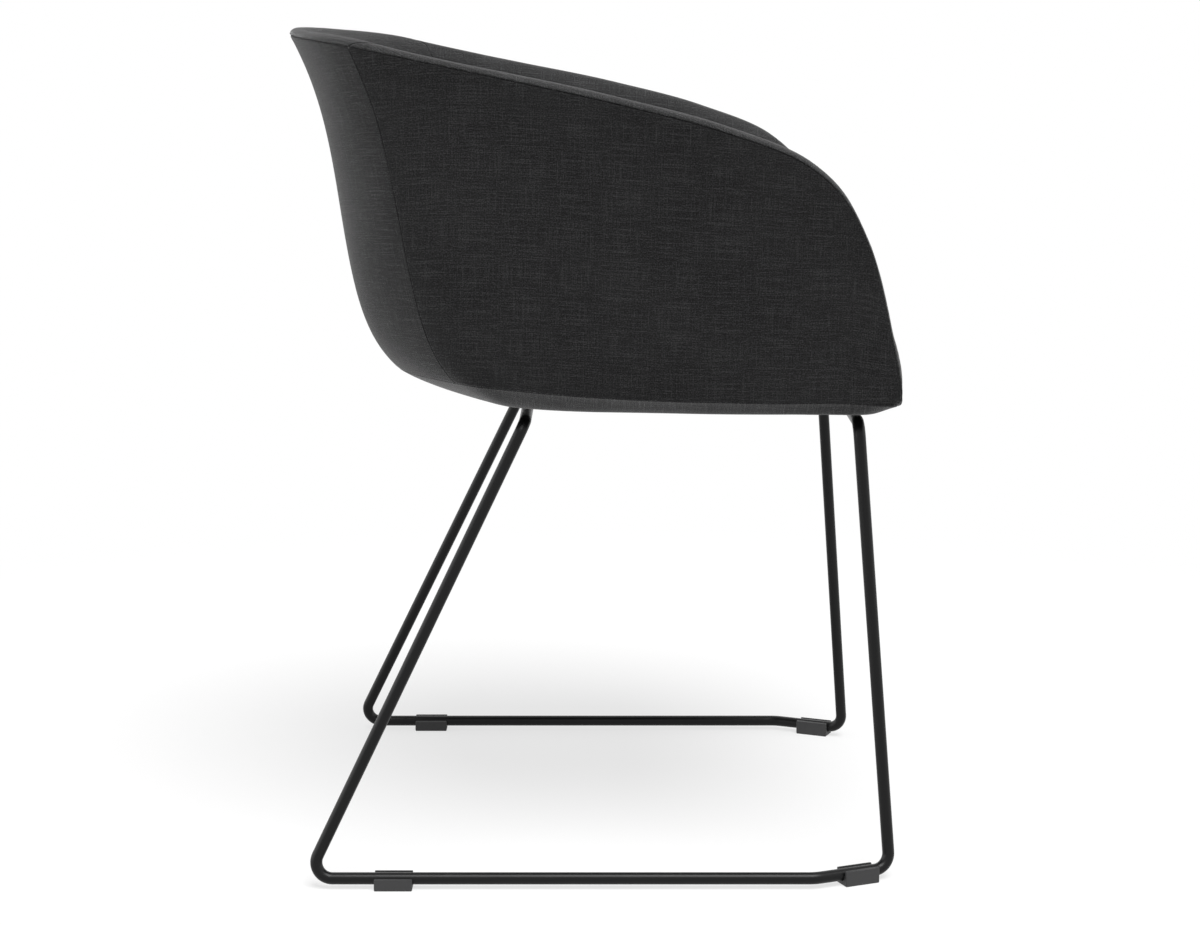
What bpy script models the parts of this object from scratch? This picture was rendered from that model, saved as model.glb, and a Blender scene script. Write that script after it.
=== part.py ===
"""Dining armchair: upholstered bucket shell on a bent steel rod sled."""
import math

import bpy
import bmesh
import numpy as np

# Driving dimensions of the shell, metres
BACK_TOP = 0.790
UNDERSIDE = 0.4375
SHELL_WIDTH = 0.602
SHELL_DEPTH = 0.578
ARM_WALL = 0.0210
BACK_WALL = 0.0190
FRONT_WALL = 0.0336
ARM_ROLL = 0.0028
BACK_ROLL = 0.0052
FRONT_ROLL = 0.0080
SHOULDER = 0.0220
SEAT_THICKNESS = 0.0340
SHELL_THICKNESS = 0.0050
SHELL_EDGE = 0.0014
FOAM_BEAD = 0.0005
OUTER_FABRIC = 0.0022
INNER_FABRIC = 0.0018

# Driving dimensions of the sled frame, metres
ROD = 0.0110
RUNNER_SPACING = 0.5618
REAR_CORNER = 0.2732
FRONT_CORNER = 0.2721
TOE_START = 0.1998
TOE_IN = 0.0314
REAR_TOP_SPACING = 0.4262
REAR_TOP = 0.0743
FRONT_TOP_SPACING = 0.4320
FRONT_TOP = 0.2405
LEG_HEIGHT = 0.4200
BEND = 0.0150
TOE_BEND = 0.0300

# Driving dimensions of plates, glides and fasteners, metres
PLATE_THICKNESS = 0.0030
PLATE_WIDTH = 0.0320
PLATE_SPACING = 0.2100
PLATE_OVERHANG = 0.0140
SCREW_INSET = 0.0700
SCREW = 0.0060
SCREW_HEAD = 0.0110
SCREW_HEAD_HEIGHT = 0.0036
WASHER = 0.0150
WASHER_THICKNESS = 0.0012
INSERT = 0.0100
GLIDE_LENGTH = 0.0354
GLIDE_WIDTH = 0.0190
GLIDE_HEIGHT = 0.0142
GLIDE_SOLE = 0.0041
GLIDE_CHAMFER = 0.0016
REAR_GLIDE = 0.1926
FRONT_GLIDE = 0.2415

# Clearance left between neighbouring pieces and between stacked layers, metres
GAP = 0.0003
LAYER_GAP = 0.0009

# Lines of the shell, from the middle of the back round to the middle of the front edge.
# Each station holds its place along the rim, then the rim seam and the bottom seam as
# drawn in millimetres: across, along with the front positive, and up from the underside.
DRAWN_SIZE = (602, 578, 352.5)
STATIONS = (
    ("back middle", 0.00, (0, -301, 346), (0, -203, 29)),
    ("back quarter", 0.11, (138, -286, 344), (112, -192, 27)),
    ("back seam", 0.22, (252, -224, 336), (216, -135, 28)),
    ("rear arm", 0.34, (279, -100, 311), (235, -85, 24)),
    ("mid arm", 0.46, (298, 18, 286), (249, -5, 19)),
    ("fore arm", 0.55, (301, 110, 262), (253, 65, 16)),
    ("arm seam", 0.63, (296, 186, 231), (254, 120, 15)),
    ("arm nose", 0.675, (286, 217, 203), (253, 155, 14)),
    ("arm front", 0.72, (272, 240, 162), (252, 187, 14)),
    ("low front", 0.80, (256, 264, 73), (250, 222, 14)),
    ("corner", 0.86, (242, 271, 17), (235, 258, 6)),
    ("front quarter", 0.92, (170, 275, 3), (166, 260, 1)),
    ("front middle", 1.00, (0, 278, 3), (0, 260, 1)),
)

# Places along the rim where panels and shapes begin or end
STATION_PLACES = {station[0]: station[1] for station in STATIONS}
BACK_SEAM = STATION_PLACES["back seam"]
ARM_SEAM = STATION_PLACES["arm seam"]
SIDE_END = STATION_PLACES["corner"]
LOW_FRONT = STATION_PLACES["low front"]
FRONT_START = STATION_PLACES["front quarter"]
BELLY_START = STATION_PLACES["back quarter"]
SIDE_START = STATION_PLACES["mid arm"]
ROLL_END = STATION_PLACES["arm front"]

# Shape of the profile at each place; pairs run from the back to the sides
FLAT_SHARE = (0.65, 0.78)
TURN_UP = (0.8, 2.8)
BELLY = (0.55, 0.27)
RIM_FLARE = (1.95, 1.60)
CREST_SHARE = (0.60, 0.50)
SEAM_RISE = 0.52
RIM_RISE = 1.00

# Levels up each profile: edge of the flat underside, bottom seam, rim at 1
FLAT_LEVEL = 0.15
SEAM_LEVEL = 0.38
FRONT_LEVEL = 0.52
WALL_START = 0.61
WALL_LEVEL = 0.84
SEAT_CENTRE = 0.0778
SEAM_END = 0.86
COLUMNS = (0.0, 0.055, 0.11, 0.165, 0.22, 0.28, 0.34, 0.40, 0.46, 0.55, 0.63, 0.6525,
           0.675, 0.6975, 0.72, 0.76, 0.80, 0.82, 0.84, 0.86, 0.885, 0.92, 0.96, 1.0)
BOTTOM_ROWS = (-1.0, 0.0, 0.44, 0.74, 1.0)
WALL_ROWS = (0.12, 0.26, 0.41, 0.57, 0.73, 0.88, 1.0)
INNER_ROWS = (0.0, 0.15, 0.25, 0.34, 0.42, 0.50, 0.59, 0.69, 0.79, 0.90, 1.0)
ROLL_STEPS = 4
CREASE_ROW = 4

ROD_SIDES = 12
ROUND_SIDES = 16

FABRIC_COLOUR = (0.026, 0.026, 0.027)
FABRIC_PALE = (0.040, 0.040, 0.041)
STEEL_COLOUR = (0.012, 0.012, 0.013)
PLASTIC_COLOUR = (0.020, 0.020, 0.021)
FOAM_COLOUR = (0.560, 0.520, 0.400)
ZINC_COLOUR = (0.420, 0.430, 0.440)


# Small numeric helpers

def unit(vector):
    return np.asarray(vector, float) / np.linalg.norm(vector)


def eased(value):
    value = min(max(value, 0), 1)
    return value * value * (3 - 2 * value)


def cubic(start, end, leave, arrive, share):
    """Point on the cubic curve that leaves one end and arrives at the other as told."""
    rest = 1 - share
    return (start * rest**2 * (1 + 2 * share) + end * share**2 * (3 - 2 * share)
            + leave * share * rest**2 - arrive * share**2 * rest)


def smooth_through(xs, ys, at):
    """Smooth curve through the given points, read at one place between its ends."""
    step = np.diff(xs)[:, None]
    slope = np.diff(ys, axis=0) / step
    tangent = np.empty_like(ys)
    tangent[1:-1] = (slope[:-1] * step[1:] + slope[1:] * step[:-1]) / (step[:-1] + step[1:])
    tangent[0] = slope[0]
    tangent[-1] = slope[-1]
    index = min(max(int(np.searchsorted(xs, at, side="right")) - 1, 0), len(xs) - 2)
    run = step[index][0]
    share = (at - xs[index]) / run
    return cubic(ys[index], ys[index + 1], run * tangent[index], run * tangent[index + 1], share)


# Shell surface

def drawn_rails():
    """Places and rails at the driving size, carried on past both ends by mirror images."""
    places = np.array([row[1] for row in STATIONS])
    rails = np.array([row[2:] for row in STATIONS], float)
    scale = np.array((SHELL_WIDTH, SHELL_DEPTH, BACK_TOP - UNDERSIDE)) / DRAWN_SIZE
    rails = rails * scale + (0, 0, UNDERSIDE)
    other_side = np.array((-1, 1, 1))
    head = rails[2:0:-1] * other_side
    tail = rails[-2:-4:-1] * other_side
    places = np.concatenate((-places[2:0:-1], places, 2 - places[-2:-4:-1]))
    return places, np.concatenate((head, rails, tail)).reshape(len(places), -1)


PLACES, RAILS = drawn_rails()
CENTRE = np.array((0, SEAT_CENTRE * SHELL_DEPTH, UNDERSIDE))
LEVEL_PART = np.array((1.0, 1.0, 0))


def rails_at(place):
    found = smooth_through(PLACES, RAILS, abs(place))
    return found[:3], found[3:]


def blend(pair, share):
    return pair[0] + (pair[1] - pair[0]) * eased(share)


def skin_point(place, level):
    """Point on the outside of the shell; place runs -1..1, 0 at the back, 1 at the front."""
    rim, seam = rails_at(place)
    side = (abs(place) - BACK_SEAM) / (SIDE_START - BACK_SEAM)
    flat = CENTRE + (seam - CENTRE) * LEVEL_PART * blend(FLAT_SHARE, side)
    climb = rim - seam
    belly = blend(BELLY, (abs(place) - BELLY_START) / (SIDE_START - BELLY_START))
    heading = unit(climb * LEVEL_PART) * belly * np.linalg.norm(climb)
    heading = heading + (0, 0, SEAM_RISE * climb[2])
    if level <= FLAT_LEVEL:
        found = CENTRE + (flat - CENTRE) * level / FLAT_LEVEL
    elif level < SEAM_LEVEL:
        share = (level - FLAT_LEVEL) / (SEAM_LEVEL - FLAT_LEVEL)
        turn = heading * blend(TURN_UP, side) * (seam[2] - UNDERSIDE) / heading[2]
        found = cubic(flat, seam, (seam - flat) * LEVEL_PART, turn, share)
    else:
        share = (level - SEAM_LEVEL) / (1 - SEAM_LEVEL)
        flare = blend(RIM_FLARE, abs(place) / BACK_SEAM)
        found = cubic(seam, rim, heading, climb * (flare, flare, RIM_RISE), share)
    return found * (1 if place >= 0 else -1, 1, 1)


def wall_direction(place):
    """Unit direction through the upper wall from the outside towards the sitter."""
    place = min(max(place, 0), 1)
    step = 0.002
    along = skin_point(min(place + step, 1), WALL_LEVEL) - skin_point(max(place - step, 0), WALL_LEVEL)
    if place < step or place > 1 - step:
        along = np.array((1.0 if place < step else -1.0, 0, 0))
    up = skin_point(place, WALL_LEVEL + step) - skin_point(place, WALL_LEVEL - step)
    upright = eased((place - SIDE_END) / (FRONT_START - SIDE_END))
    return unit(unit(np.cross(up, along)) * (1 - upright) + np.array((0, 0, upright)))


def inward(place, level):
    """Unit direction through the upholstery: upright in the seat, square to the wall above."""
    blend = eased((level - FLAT_LEVEL) / (WALL_START - FLAT_LEVEL))
    direction = np.array((0, 0, 1.0)) * (1 - blend) + wall_direction(abs(place)) * blend
    return unit(direction) * (1 if place >= 0 else -1, 1, 1)


def rim_section(place):
    """At the rim: thickness, width inside the crest, height of the roll and of its inner shoulder."""
    side = abs(place) / ROLL_END
    front = (abs(place) - SIDE_END) / (FRONT_START - SIDE_END)
    wall = blend((blend((BACK_WALL, ARM_WALL), side), FRONT_WALL), front)
    height = blend((blend((BACK_ROLL, ARM_ROLL), side), FRONT_ROLL), front)
    return wall, wall * blend(CREST_SHARE, front), height, blend((SHOULDER, height), front)


def thickness(place, level):
    """Thickness of the upholstery, rounded off on the sitter's side below the rim."""
    wall, inside, height, shoulder = rim_section(place)
    length = np.linalg.norm(skin_point(place, 1) - skin_point(place, WALL_LEVEL)) / (1 - WALL_LEVEL)
    climb = max(1 - (height + (1 - level) * length) / shoulder, 0)
    rounded = inside * (1 - math.sqrt(1 - climb**2))
    fade = eased((level - FLAT_LEVEL) / (WALL_START - FLAT_LEVEL))
    return SEAT_THICKNESS + (wall - SEAT_THICKNESS) * fade - rounded


def bottom_seam(place):
    """Level of the seam round the bottom panel; it climbs to the rim at the front corner."""
    climb = min(max((abs(place) - LOW_FRONT) / (SIDE_END - LOW_FRONT), 0), 1)
    level = SEAM_LEVEL + (SEAM_END - SEAM_LEVEL) * climb**3
    return level - (SEAM_END - FRONT_LEVEL) * eased((abs(place) - SIDE_END) / (FRONT_START - SIDE_END))


def outer_rows(place):
    seam = bottom_seam(place)
    rows = [0.0]
    rows += [FLAT_LEVEL + (seam - FLAT_LEVEL) * share for share in BOTTOM_ROWS[1:]]
    rows += [seam + (1 - seam) * share for share in WALL_ROWS]
    return rows


def around():
    """Places of the grid columns once round the shell, starting at the front."""
    left = [-place for place in reversed(COLUMNS)]
    return left[:-1] + list(COLUMNS[:-1])


def outer_layer(places, depth):
    """Grid of points at a set depth under the outside fabric face."""
    return np.array([[skin_point(place, level) + inward(place, level) * depth
                      for level in outer_rows(place)] for place in places])


def inner_layer(places, depth):
    """Grid of points at a set depth under the fabric face on the sitter's side."""
    return np.array([[skin_point(place, level)
                      + inward(place, level) * (thickness(place, level) - depth)
                      for level in INNER_ROWS] for place in places])


def roll(places, inset):
    """Rows over the rim from its inner edge to its outer seam, set in from the fabric face."""
    grid = []
    for place in places:
        wall, inside, height, shoulder = rim_section(place)
        outside = wall - inside
        across = inward(place, 1)
        rise = skin_point(place, 1) - skin_point(place, 0.98)
        rise = unit(rise - across * rise.dot(across))
        crest = skin_point(place, 1) + across * outside
        start = math.asin(1 - height / shoulder)
        line = []
        for step in range(1, ROLL_STEPS // 2 + 1):
            turn = start + (math.pi / 2 - start) * step / (ROLL_STEPS // 2)
            up = height - shoulder + (shoulder - inset) * math.sin(turn)
            line.append(crest + across * (inside - inset) * math.cos(turn) + rise * up)
        for step in range(1, ROLL_STEPS // 2 + 1):
            turn = math.pi / 2 * (1 + step / (ROLL_STEPS // 2))
            up = (height - inset) * math.sin(turn)
            line.append(crest + across * (outside - inset) * math.cos(turn) + rise * up)
        grid.append(line)
    return np.array(grid)


# Meshes as points and faces

def compact(points, faces):
    used = sorted({index for face in faces for index in face})
    place = {old: new for new, old in enumerate(used)}
    return [points[index] for index in used], [[place[index] for index in face] for face in faces]


def split(ring, other_way):
    """Two triangles from a ring of four corners, fewer where corners coincide."""
    a, b, c, d = ring
    pairs = ((a, b, d), (b, c, d)) if other_way else ((a, b, c), (a, c, d))
    return [list(face) for face in pairs if len(set(face)) == 3]


def mirrored_split(places):
    """True for the grid columns on the right-hand side, so both halves split alike."""
    return [place < 0 for place in places]


def sheet_solid(front, back, mask, places, closed):
    """Closed solid between two grids, kept where the mask of grid cells is set."""
    other_way = mirrored_split(places)
    columns, rows = front.shape[:2]
    points = [tuple(point) for point in front.reshape(-1, 3)]
    points += [tuple(point) for point in back.reshape(-1, 3)]

    def index(side, column, row):
        column = column % columns if closed else column
        column = 0 if closed and row == 0 else column
        return side * columns * rows + column * rows + row

    def kept(column, row):
        if closed:
            column = column % mask.shape[0]
        inside = 0 <= column < mask.shape[0] and 0 <= row < mask.shape[1]
        return inside and mask[column, row]

    faces = []
    for column in range(mask.shape[0]):
        for row in range(mask.shape[1]):
            if not mask[column, row]:
                continue
            ring = ((column, row), (column + 1, row), (column + 1, row + 1), (column, row + 1))
            faces += split([index(0, *corner) for corner in ring], other_way[column])
            under = split([index(1, *corner) for corner in ring], other_way[column])
            faces += [list(reversed(face)) for face in under]
            beside = ((column, row - 1), (column + 1, row), (column, row + 1), (column - 1, row))
            for edge in range(4):
                if kept(*beside[edge]):
                    continue
                a, b = sorted((ring[edge], ring[(edge + 1) % 4]))
                wall = [index(0, *a), index(0, *b), index(1, *b), index(1, *a)]
                faces += split(wall, other_way[column])
    return compact(points, faces)


def turned_solid(paths, closed_path, places=None, fold=None):
    """Solid from a ring of section paths; open paths end on the axis at both ends."""
    count = len(paths)
    steps = len(paths[0])
    other_way = mirrored_split(places) if places else [False] * count
    fold = steps if fold is None else fold
    points = [tuple(point) for path in paths for point in path]

    def index(column, step):
        on_axis = not closed_path and step in (0, steps - 1)
        return (0 if on_axis else column % count) * steps + step % steps

    faces = []
    for column in range(count):
        for step in range(steps if closed_path else steps - 1):
            ring = ((column, step), (column + 1, step), (column + 1, step + 1), (column, step + 1))
            way = other_way[column] != (step >= fold)
            faces += split([index(*corner) for corner in ring], way)
    return compact(points, faces)


def round_paths(section, centre):
    """Section of (radius, height) pairs repeated about an upright axis."""
    paths = []
    for side in range(ROUND_SIDES):
        turn = 2 * math.pi * side / ROUND_SIDES
        away = np.array((math.cos(turn), math.sin(turn), 0))
        base = np.array((centre[0], centre[1], 0))
        paths.append([base + away * radius + np.array((0, 0, height)) for radius, height in section])
    return paths


def extruded(outlines):
    """Solid through a row of outlines with equal point counts, capped at both ends."""
    count = len(outlines[0])
    points = [tuple(point) for outline in outlines for point in outline]
    faces = [list(range(count)), list(range(len(points) - 1, len(points) - count - 1, -1))]
    for step in range(len(outlines) - 1):
        for corner in range(count):
            after = (corner + 1) % count
            low = step * count
            faces.append([low + corner, low + after, low + count + after, low + count + corner])
    return points, faces


# Upholstered shell

def trim(grid, first_column, last_column, first_row, last_row, amount=GAP):
    """Pull chosen borders of a grid back, by the clearance unless told otherwise."""
    grid = grid.copy()

    def pull(border, neighbour):
        reach = neighbour - border
        return border + reach * (amount / np.linalg.norm(reach, axis=-1))[..., None]

    if first_column:
        grid[0] = pull(grid[0], grid[1])
    if last_column:
        grid[-1] = pull(grid[-1], grid[-2])
    if first_row:
        grid[:, 0] = pull(grid[:, 0], grid[:, 1])
    if last_row:
        grid[:, -1] = pull(grid[:, -1], grid[:, -2])
    return grid


def places_between(low, high):
    return [place for place in sorted(set(around()) | {1.0}) if low - 1e-6 <= place <= high + 1e-6]


def outer_grids(places):
    return outer_layer(places, 0), outer_layer(places, OUTER_FABRIC)


def inner_grids(places):
    face = np.concatenate((inner_layer(places, 0), roll(places, 0)), axis=1)
    under = inner_layer(places, INNER_FABRIC)
    return face, np.concatenate((under, roll(places, INNER_FABRIC)), axis=1)


def outer_panel(low, high, ends_pulled):
    """Outside cover panel between two seams, from the bottom seam up to the rim seam."""
    row = len(BOTTOM_ROWS) - 1
    places = places_between(low, high)
    front, back = (grid[:, row:] for grid in outer_grids(places))
    front = trim(front, ends_pulled, ends_pulled, True, True)
    back = trim(back, ends_pulled, ends_pulled, True, True)
    mask = np.ones((front.shape[0] - 1, front.shape[1] - 1), bool)
    return sheet_solid(front, back, mask, places, False)


def bottom_panel():
    """Bottom cover; past the side panels it runs up to the rim seam under the front edge."""
    places = around()
    front, back = outer_grids(places)
    front = trim(front, False, False, False, True)
    back = trim(back, False, False, False, True)
    mask = np.zeros((len(places), front.shape[1] - 1), bool)
    mask[:, :len(BOTTOM_ROWS) - 1] = True
    for column, place in enumerate(places):
        middle = (abs(place) + abs(places[(column + 1) % len(places)])) / 2
        if middle > SIDE_END:
            mask[column, :] = True
    return sheet_solid(front, back, mask, places, True)


def inner_panel(low, high, ends_pulled):
    """Inside cover panel from the seat crease up, over the rim and down to the rim seam."""
    places = places_between(low, high)
    front, back = (grid[:, CREASE_ROW:] for grid in inner_grids(places))
    front = trim(front, ends_pulled, ends_pulled, True, False)
    back = trim(back, ends_pulled, ends_pulled, True, False)
    mask = np.ones((front.shape[0] - 1, front.shape[1] - 1), bool)
    return sheet_solid(front, back, mask, places, False)


def seat_panel():
    """Seat cover; in front of the arm seams it also wraps the front edges of the arms."""
    places = around()
    front, back = inner_grids(places)
    mask = np.zeros((len(places), front.shape[1] - 1), bool)
    mask[:, :CREASE_ROW] = True
    for column, place in enumerate(places):
        middle = (abs(place) + abs(places[(column + 1) % len(places)])) / 2
        if middle > ARM_SEAM:
            mask[column, :] = True
    return sheet_solid(front, back, mask, places, True)


def structural_shell():
    places = around()
    under = outer_layer(places, OUTER_FABRIC + LAYER_GAP)
    over = outer_layer(places, OUTER_FABRIC + LAYER_GAP + SHELL_THICKNESS)
    under = trim(under, False, False, False, True, SHELL_EDGE)
    over = trim(over, False, False, False, True, SHELL_EDGE)
    paths = [list(low) + list(reversed(high)) for low, high in zip(under, over)]
    return turned_solid(paths, False, places, under.shape[1])


def shell_foam():
    """Foam on the sitter's side, with a bead over the edge of the moulded shell."""
    places = around()
    rim = outer_layer(places, OUTER_FABRIC + 2 * LAYER_GAP + SHELL_THICKNESS)
    lip = outer_layer(places, OUTER_FABRIC + LAYER_GAP)
    under = [trim(rim, False, False, False, True, SHELL_EDGE)]
    under += [trim(grid, False, False, False, True, FOAM_BEAD)[:, -1:] for grid in (rim, lip)]
    under = np.concatenate(under, axis=1)
    over = inner_layer(places, INNER_FABRIC + LAYER_GAP)
    bead = roll(places, INNER_FABRIC + LAYER_GAP)
    paths = []
    for low, top, high in zip(under, bead, over):
        paths.append(list(low) + list(reversed(top)) + list(reversed(high)))
    return turned_solid(paths, False, places, under.shape[1])


# Sled frame

def bar_height():
    return UNDERSIDE - PLATE_THICKNESS - 2 * GAP - ROD / 2


def on_leg(foot, passing, height):
    share = (height - foot[2]) / (passing[2] - foot[2])
    return foot + (passing - foot) * share


def sled_corners():
    """Corner points of one side of the frame, from the front cross bar to the rear one."""
    low = GLIDE_SOLE + ROD / 2
    side = RUNNER_SPACING / 2
    front_foot = np.array((side - TOE_IN, FRONT_CORNER, low))
    rear_foot = np.array((side, -REAR_CORNER, low))
    front_pass = np.array((FRONT_TOP_SPACING / 2, FRONT_TOP, LEG_HEIGHT))
    rear_pass = np.array((REAR_TOP_SPACING / 2, -REAR_TOP, LEG_HEIGHT))
    front_top = on_leg(front_foot, front_pass, bar_height())
    rear_top = on_leg(rear_foot, rear_pass, bar_height())
    toe = np.array((side, TOE_START, low))
    start = front_top * (0, 1, 1) + (GAP / 2, 0, 0)
    end = rear_top * (0, 1, 1) + (GAP / 2, 0, 0)
    return [start, front_top, front_foot, toe, rear_foot, rear_top, end]


def bent_path(corners, radii, steps):
    """Centre line with each corner rounded to its bend radius."""
    path = [corners[0]]
    for before, corner, after, radius in zip(corners, corners[1:], corners[2:], radii):
        back = unit(before - corner)
        ahead = unit(after - corner)
        opening = math.acos(back.dot(ahead))
        reach = radius / math.tan(opening / 2)
        centre = corner + unit(back + ahead) * radius / math.sin(opening / 2)
        first = corner + back * reach - centre
        last = corner + ahead * reach - centre
        sweep = math.pi - opening
        for step in range(steps + 1):
            part = sweep * step / steps
            blend = (first * math.sin(sweep - part) + last * math.sin(part)) / math.sin(sweep)
            path.append(centre + blend)
    path.append(corners[-1])
    return path


def swept_rod(path):
    heading = unit(path[1] - path[0])
    side = unit(np.cross(heading, (0, 0, 1)))
    outlines = []
    for index, point in enumerate(path):
        before = path[max(index - 1, 0)]
        after = path[min(index + 1, len(path) - 1)]
        into = unit(point - before) if index else unit(after - point)
        out = unit(after - point) if index < len(path) - 1 else into
        heading = unit(into + out)
        side = unit(side - heading * side.dot(heading))
        up = np.cross(heading, side)
        outline = []
        for corner in range(ROD_SIDES):
            turn = 2 * math.pi * corner / ROD_SIDES
            outline.append(point + (side * math.cos(turn) + up * math.sin(turn)) * ROD / 2)
        outlines.append(outline)
    return extruded(outlines)


def sled_rod():
    radii = (BEND, BEND, TOE_BEND, BEND, BEND)
    return swept_rod(bent_path(sled_corners(), radii, 6))


def glide(place):
    """Clip-on glide: a block with a channel for the rod, open at the top."""
    corners = sled_corners()
    if place < 0:
        centre = corners[4] * (1, 0, 0) + (0, place, 0)
        heading = np.array((0, 1.0, 0))
    else:
        heading = unit(corners[2] - corners[3])
        centre = corners[3] + heading * (place - TOE_START) / heading[1]
    side = np.array((heading[1], -heading[0], 0))
    bore = ROD / 2 + GAP
    axis = GLIDE_SOLE + ROD / 2

    def outline(along, inset):
        half = GLIDE_WIDTH / 2 - inset
        foot = GLIDE_CHAMFER
        lip = bore + (half - bore) * 0.25
        shape = [(-half, GLIDE_HEIGHT - foot), (-lip, GLIDE_HEIGHT - inset)]
        for step in range(9):
            turn = math.pi * (1 + step / 8)
            shape.append((bore * math.cos(turn), axis + bore * math.sin(turn)))
        shape += [(lip, GLIDE_HEIGHT - inset), (half, GLIDE_HEIGHT - foot), (half, foot + inset)]
        shape += [(half - foot, inset), (foot - half, inset), (-half, foot + inset)]
        base = np.array((centre[0], centre[1], 0)) + heading * along
        return [base + side * across + np.array((0, 0, height)) for across, height in shape]

    end = GLIDE_LENGTH / 2
    chamfer = GLIDE_CHAMFER
    return extruded([outline(-end, chamfer), outline(chamfer - end, 0),
                     outline(end - chamfer, 0), outline(end, chamfer)])


# Plates and fasteners

def bar_places():
    corners = sled_corners()
    return corners[1][1], corners[5][1]


def screw_places():
    front, rear = bar_places()
    return {"front": front - SCREW_INSET, "rear": rear + SCREW_INSET}


def plate_bottom():
    return UNDERSIDE - GAP - PLATE_THICKNESS


def mount_plate():
    front, rear = bar_places()
    corner = PLATE_WIDTH / 4
    outline = []
    for turn in range(4):
        for step in range(4):
            angle = math.pi / 2 * (turn + step / 3)
            across = PLATE_WIDTH / 2 - corner
            along = (front - rear) / 2 + PLATE_OVERHANG - corner
            across *= 1 if turn in (0, 3) else -1
            along *= 1 if turn in (0, 1) else -1
            outline.append((across + corner * math.cos(angle), along + corner * math.sin(angle)))
    middle = np.array((PLATE_SPACING / 2, (front + rear) / 2, 0))
    low = [middle + (across, along, plate_bottom()) for across, along in outline]
    high = [point + (0, 0, PLATE_THICKNESS) for point in low]
    return extruded([low, high])


def ring(inner, outer, low, high, centre):
    section = ((inner, low), (outer, low), (outer, high), (inner, high))
    return turned_solid(round_paths(section, centre), True)


def washer(centre):
    top = plate_bottom() - GAP
    return ring(SCREW / 2 + GAP, WASHER / 2, top - WASHER_THICKNESS, top, centre)


def insert(centre):
    low = UNDERSIDE + OUTER_FABRIC + LAYER_GAP
    return ring(SCREW / 2 + GAP, INSERT / 2, low, low + SHELL_THICKNESS, centre)


def screw(centre):
    head_top = plate_bottom() - 2 * GAP - WASHER_THICKNESS
    head = SCREW_HEAD / 2
    tip = UNDERSIDE + OUTER_FABRIC + SHELL_THICKNESS
    socket = SCREW * 0.35
    low = head_top - SCREW_HEAD_HEIGHT
    section = ((0, low + SCREW_HEAD_HEIGHT * 0.5), (socket, low + SCREW_HEAD_HEIGHT * 0.5),
               (socket, low), (head * 0.72, low), (head * 0.94, low + SCREW_HEAD_HEIGHT * 0.35),
               (head, low + SCREW_HEAD_HEIGHT * 0.7), (head, head_top), (SCREW / 2, head_top),
               (SCREW / 2, tip - 0.001), (SCREW / 2 - 0.001, tip), (0, tip))
    return turned_solid(round_paths(section, centre), False)


def hole_cutter(centres, radius, low, high):
    """One mesh holding a plain cylinder for every hole."""
    points = []
    faces = []
    for centre in centres:
        section = ((0, low), (radius, low), (radius, high), (0, high))
        more, rings = turned_solid(round_paths(section, centre), False)
        faces += [[index + len(points) for index in face] for face in rings]
        points += more
    return points, faces


# Assembly

def mirrored(piece):
    points, faces = piece
    return [(-x, along, z) for x, along, z in points], [list(reversed(face)) for face in faces]


def pair(name, piece):
    return [(name + "_left", piece), (name + "_right", mirrored(piece))]


def shell_pieces():
    side = outer_panel(BACK_SEAM, SIDE_END, True)
    arm = inner_panel(BACK_SEAM, ARM_SEAM, True)
    pieces = [("structural_shell", structural_shell()), ("seat_foam", shell_foam()),
              ("outer_back_cover", outer_panel(-BACK_SEAM, BACK_SEAM, False)),
              ("bottom_cover", bottom_panel()), ("seat_cover", seat_panel()),
              ("inner_back_cover", inner_panel(-BACK_SEAM, BACK_SEAM, False))]
    return pieces + pair("outer_side_cover", side) + pair("inner_arm_cover", arm)


def frame_pieces():
    pieces = pair("sled_rod", sled_rod()) + pair("mount_plate", mount_plate())
    pieces += pair("glide_front", glide(FRONT_GLIDE))
    return pieces + pair("glide_rear", glide(-REAR_GLIDE))


def fastener_pieces():
    pieces = []
    for end, along in screw_places().items():
        centre = (PLATE_SPACING / 2, along)
        pieces += pair("screw_" + end, screw(centre))
        pieces += pair("washer_" + end, washer(centre))
        pieces += pair("insert_" + end, insert(centre))
    return pieces


def cutters():
    spots = [(side * PLATE_SPACING / 2, along) for side in (-1, 1)
             for along in screw_places().values()]
    low = plate_bottom() - 0.002
    high = UNDERSIDE + OUTER_FABRIC + LAYER_GAP / 2
    screw_holes = hole_cutter(spots, SCREW / 2 + 0.0005, low, high)
    low = UNDERSIDE + OUTER_FABRIC + LAYER_GAP / 2
    top = low + SHELL_THICKNESS + LAYER_GAP
    insert_holes = hole_cutter(spots, INSERT / 2 + GAP, low, top)
    return {"cut_screw_holes": screw_holes, "cut_insert_holes": insert_holes}


def finish_of(name):
    """Colour, roughness and metallic value for a piece."""
    if name.startswith("outer_"):
        return FABRIC_COLOUR, 0.92, 0.0
    if name.endswith("cover") or "_cover_" in name:
        return FABRIC_PALE, 0.92, 0.0
    if name.startswith("seat_foam"):
        return FOAM_COLOUR, 0.95, 0.0
    if name.startswith(("sled", "mount")):
        return STEEL_COLOUR, 0.42, 0.0
    if name.startswith(("screw", "washer", "insert")):
        return ZINC_COLOUR, 0.35, 1.0
    return PLASTIC_COLOUR, 0.5, 0.0


def material_for(name):
    colour, roughness, metallic = finish_of(name)
    material = bpy.data.materials.new(name + "_finish")
    material.use_nodes = True
    surface = material.node_tree.nodes["Principled BSDF"]
    surface.inputs["Base Color"].default_value = (*colour, 1)
    surface.inputs["Roughness"].default_value = roughness
    surface.inputs["Metallic"].default_value = metallic
    return material


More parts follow.
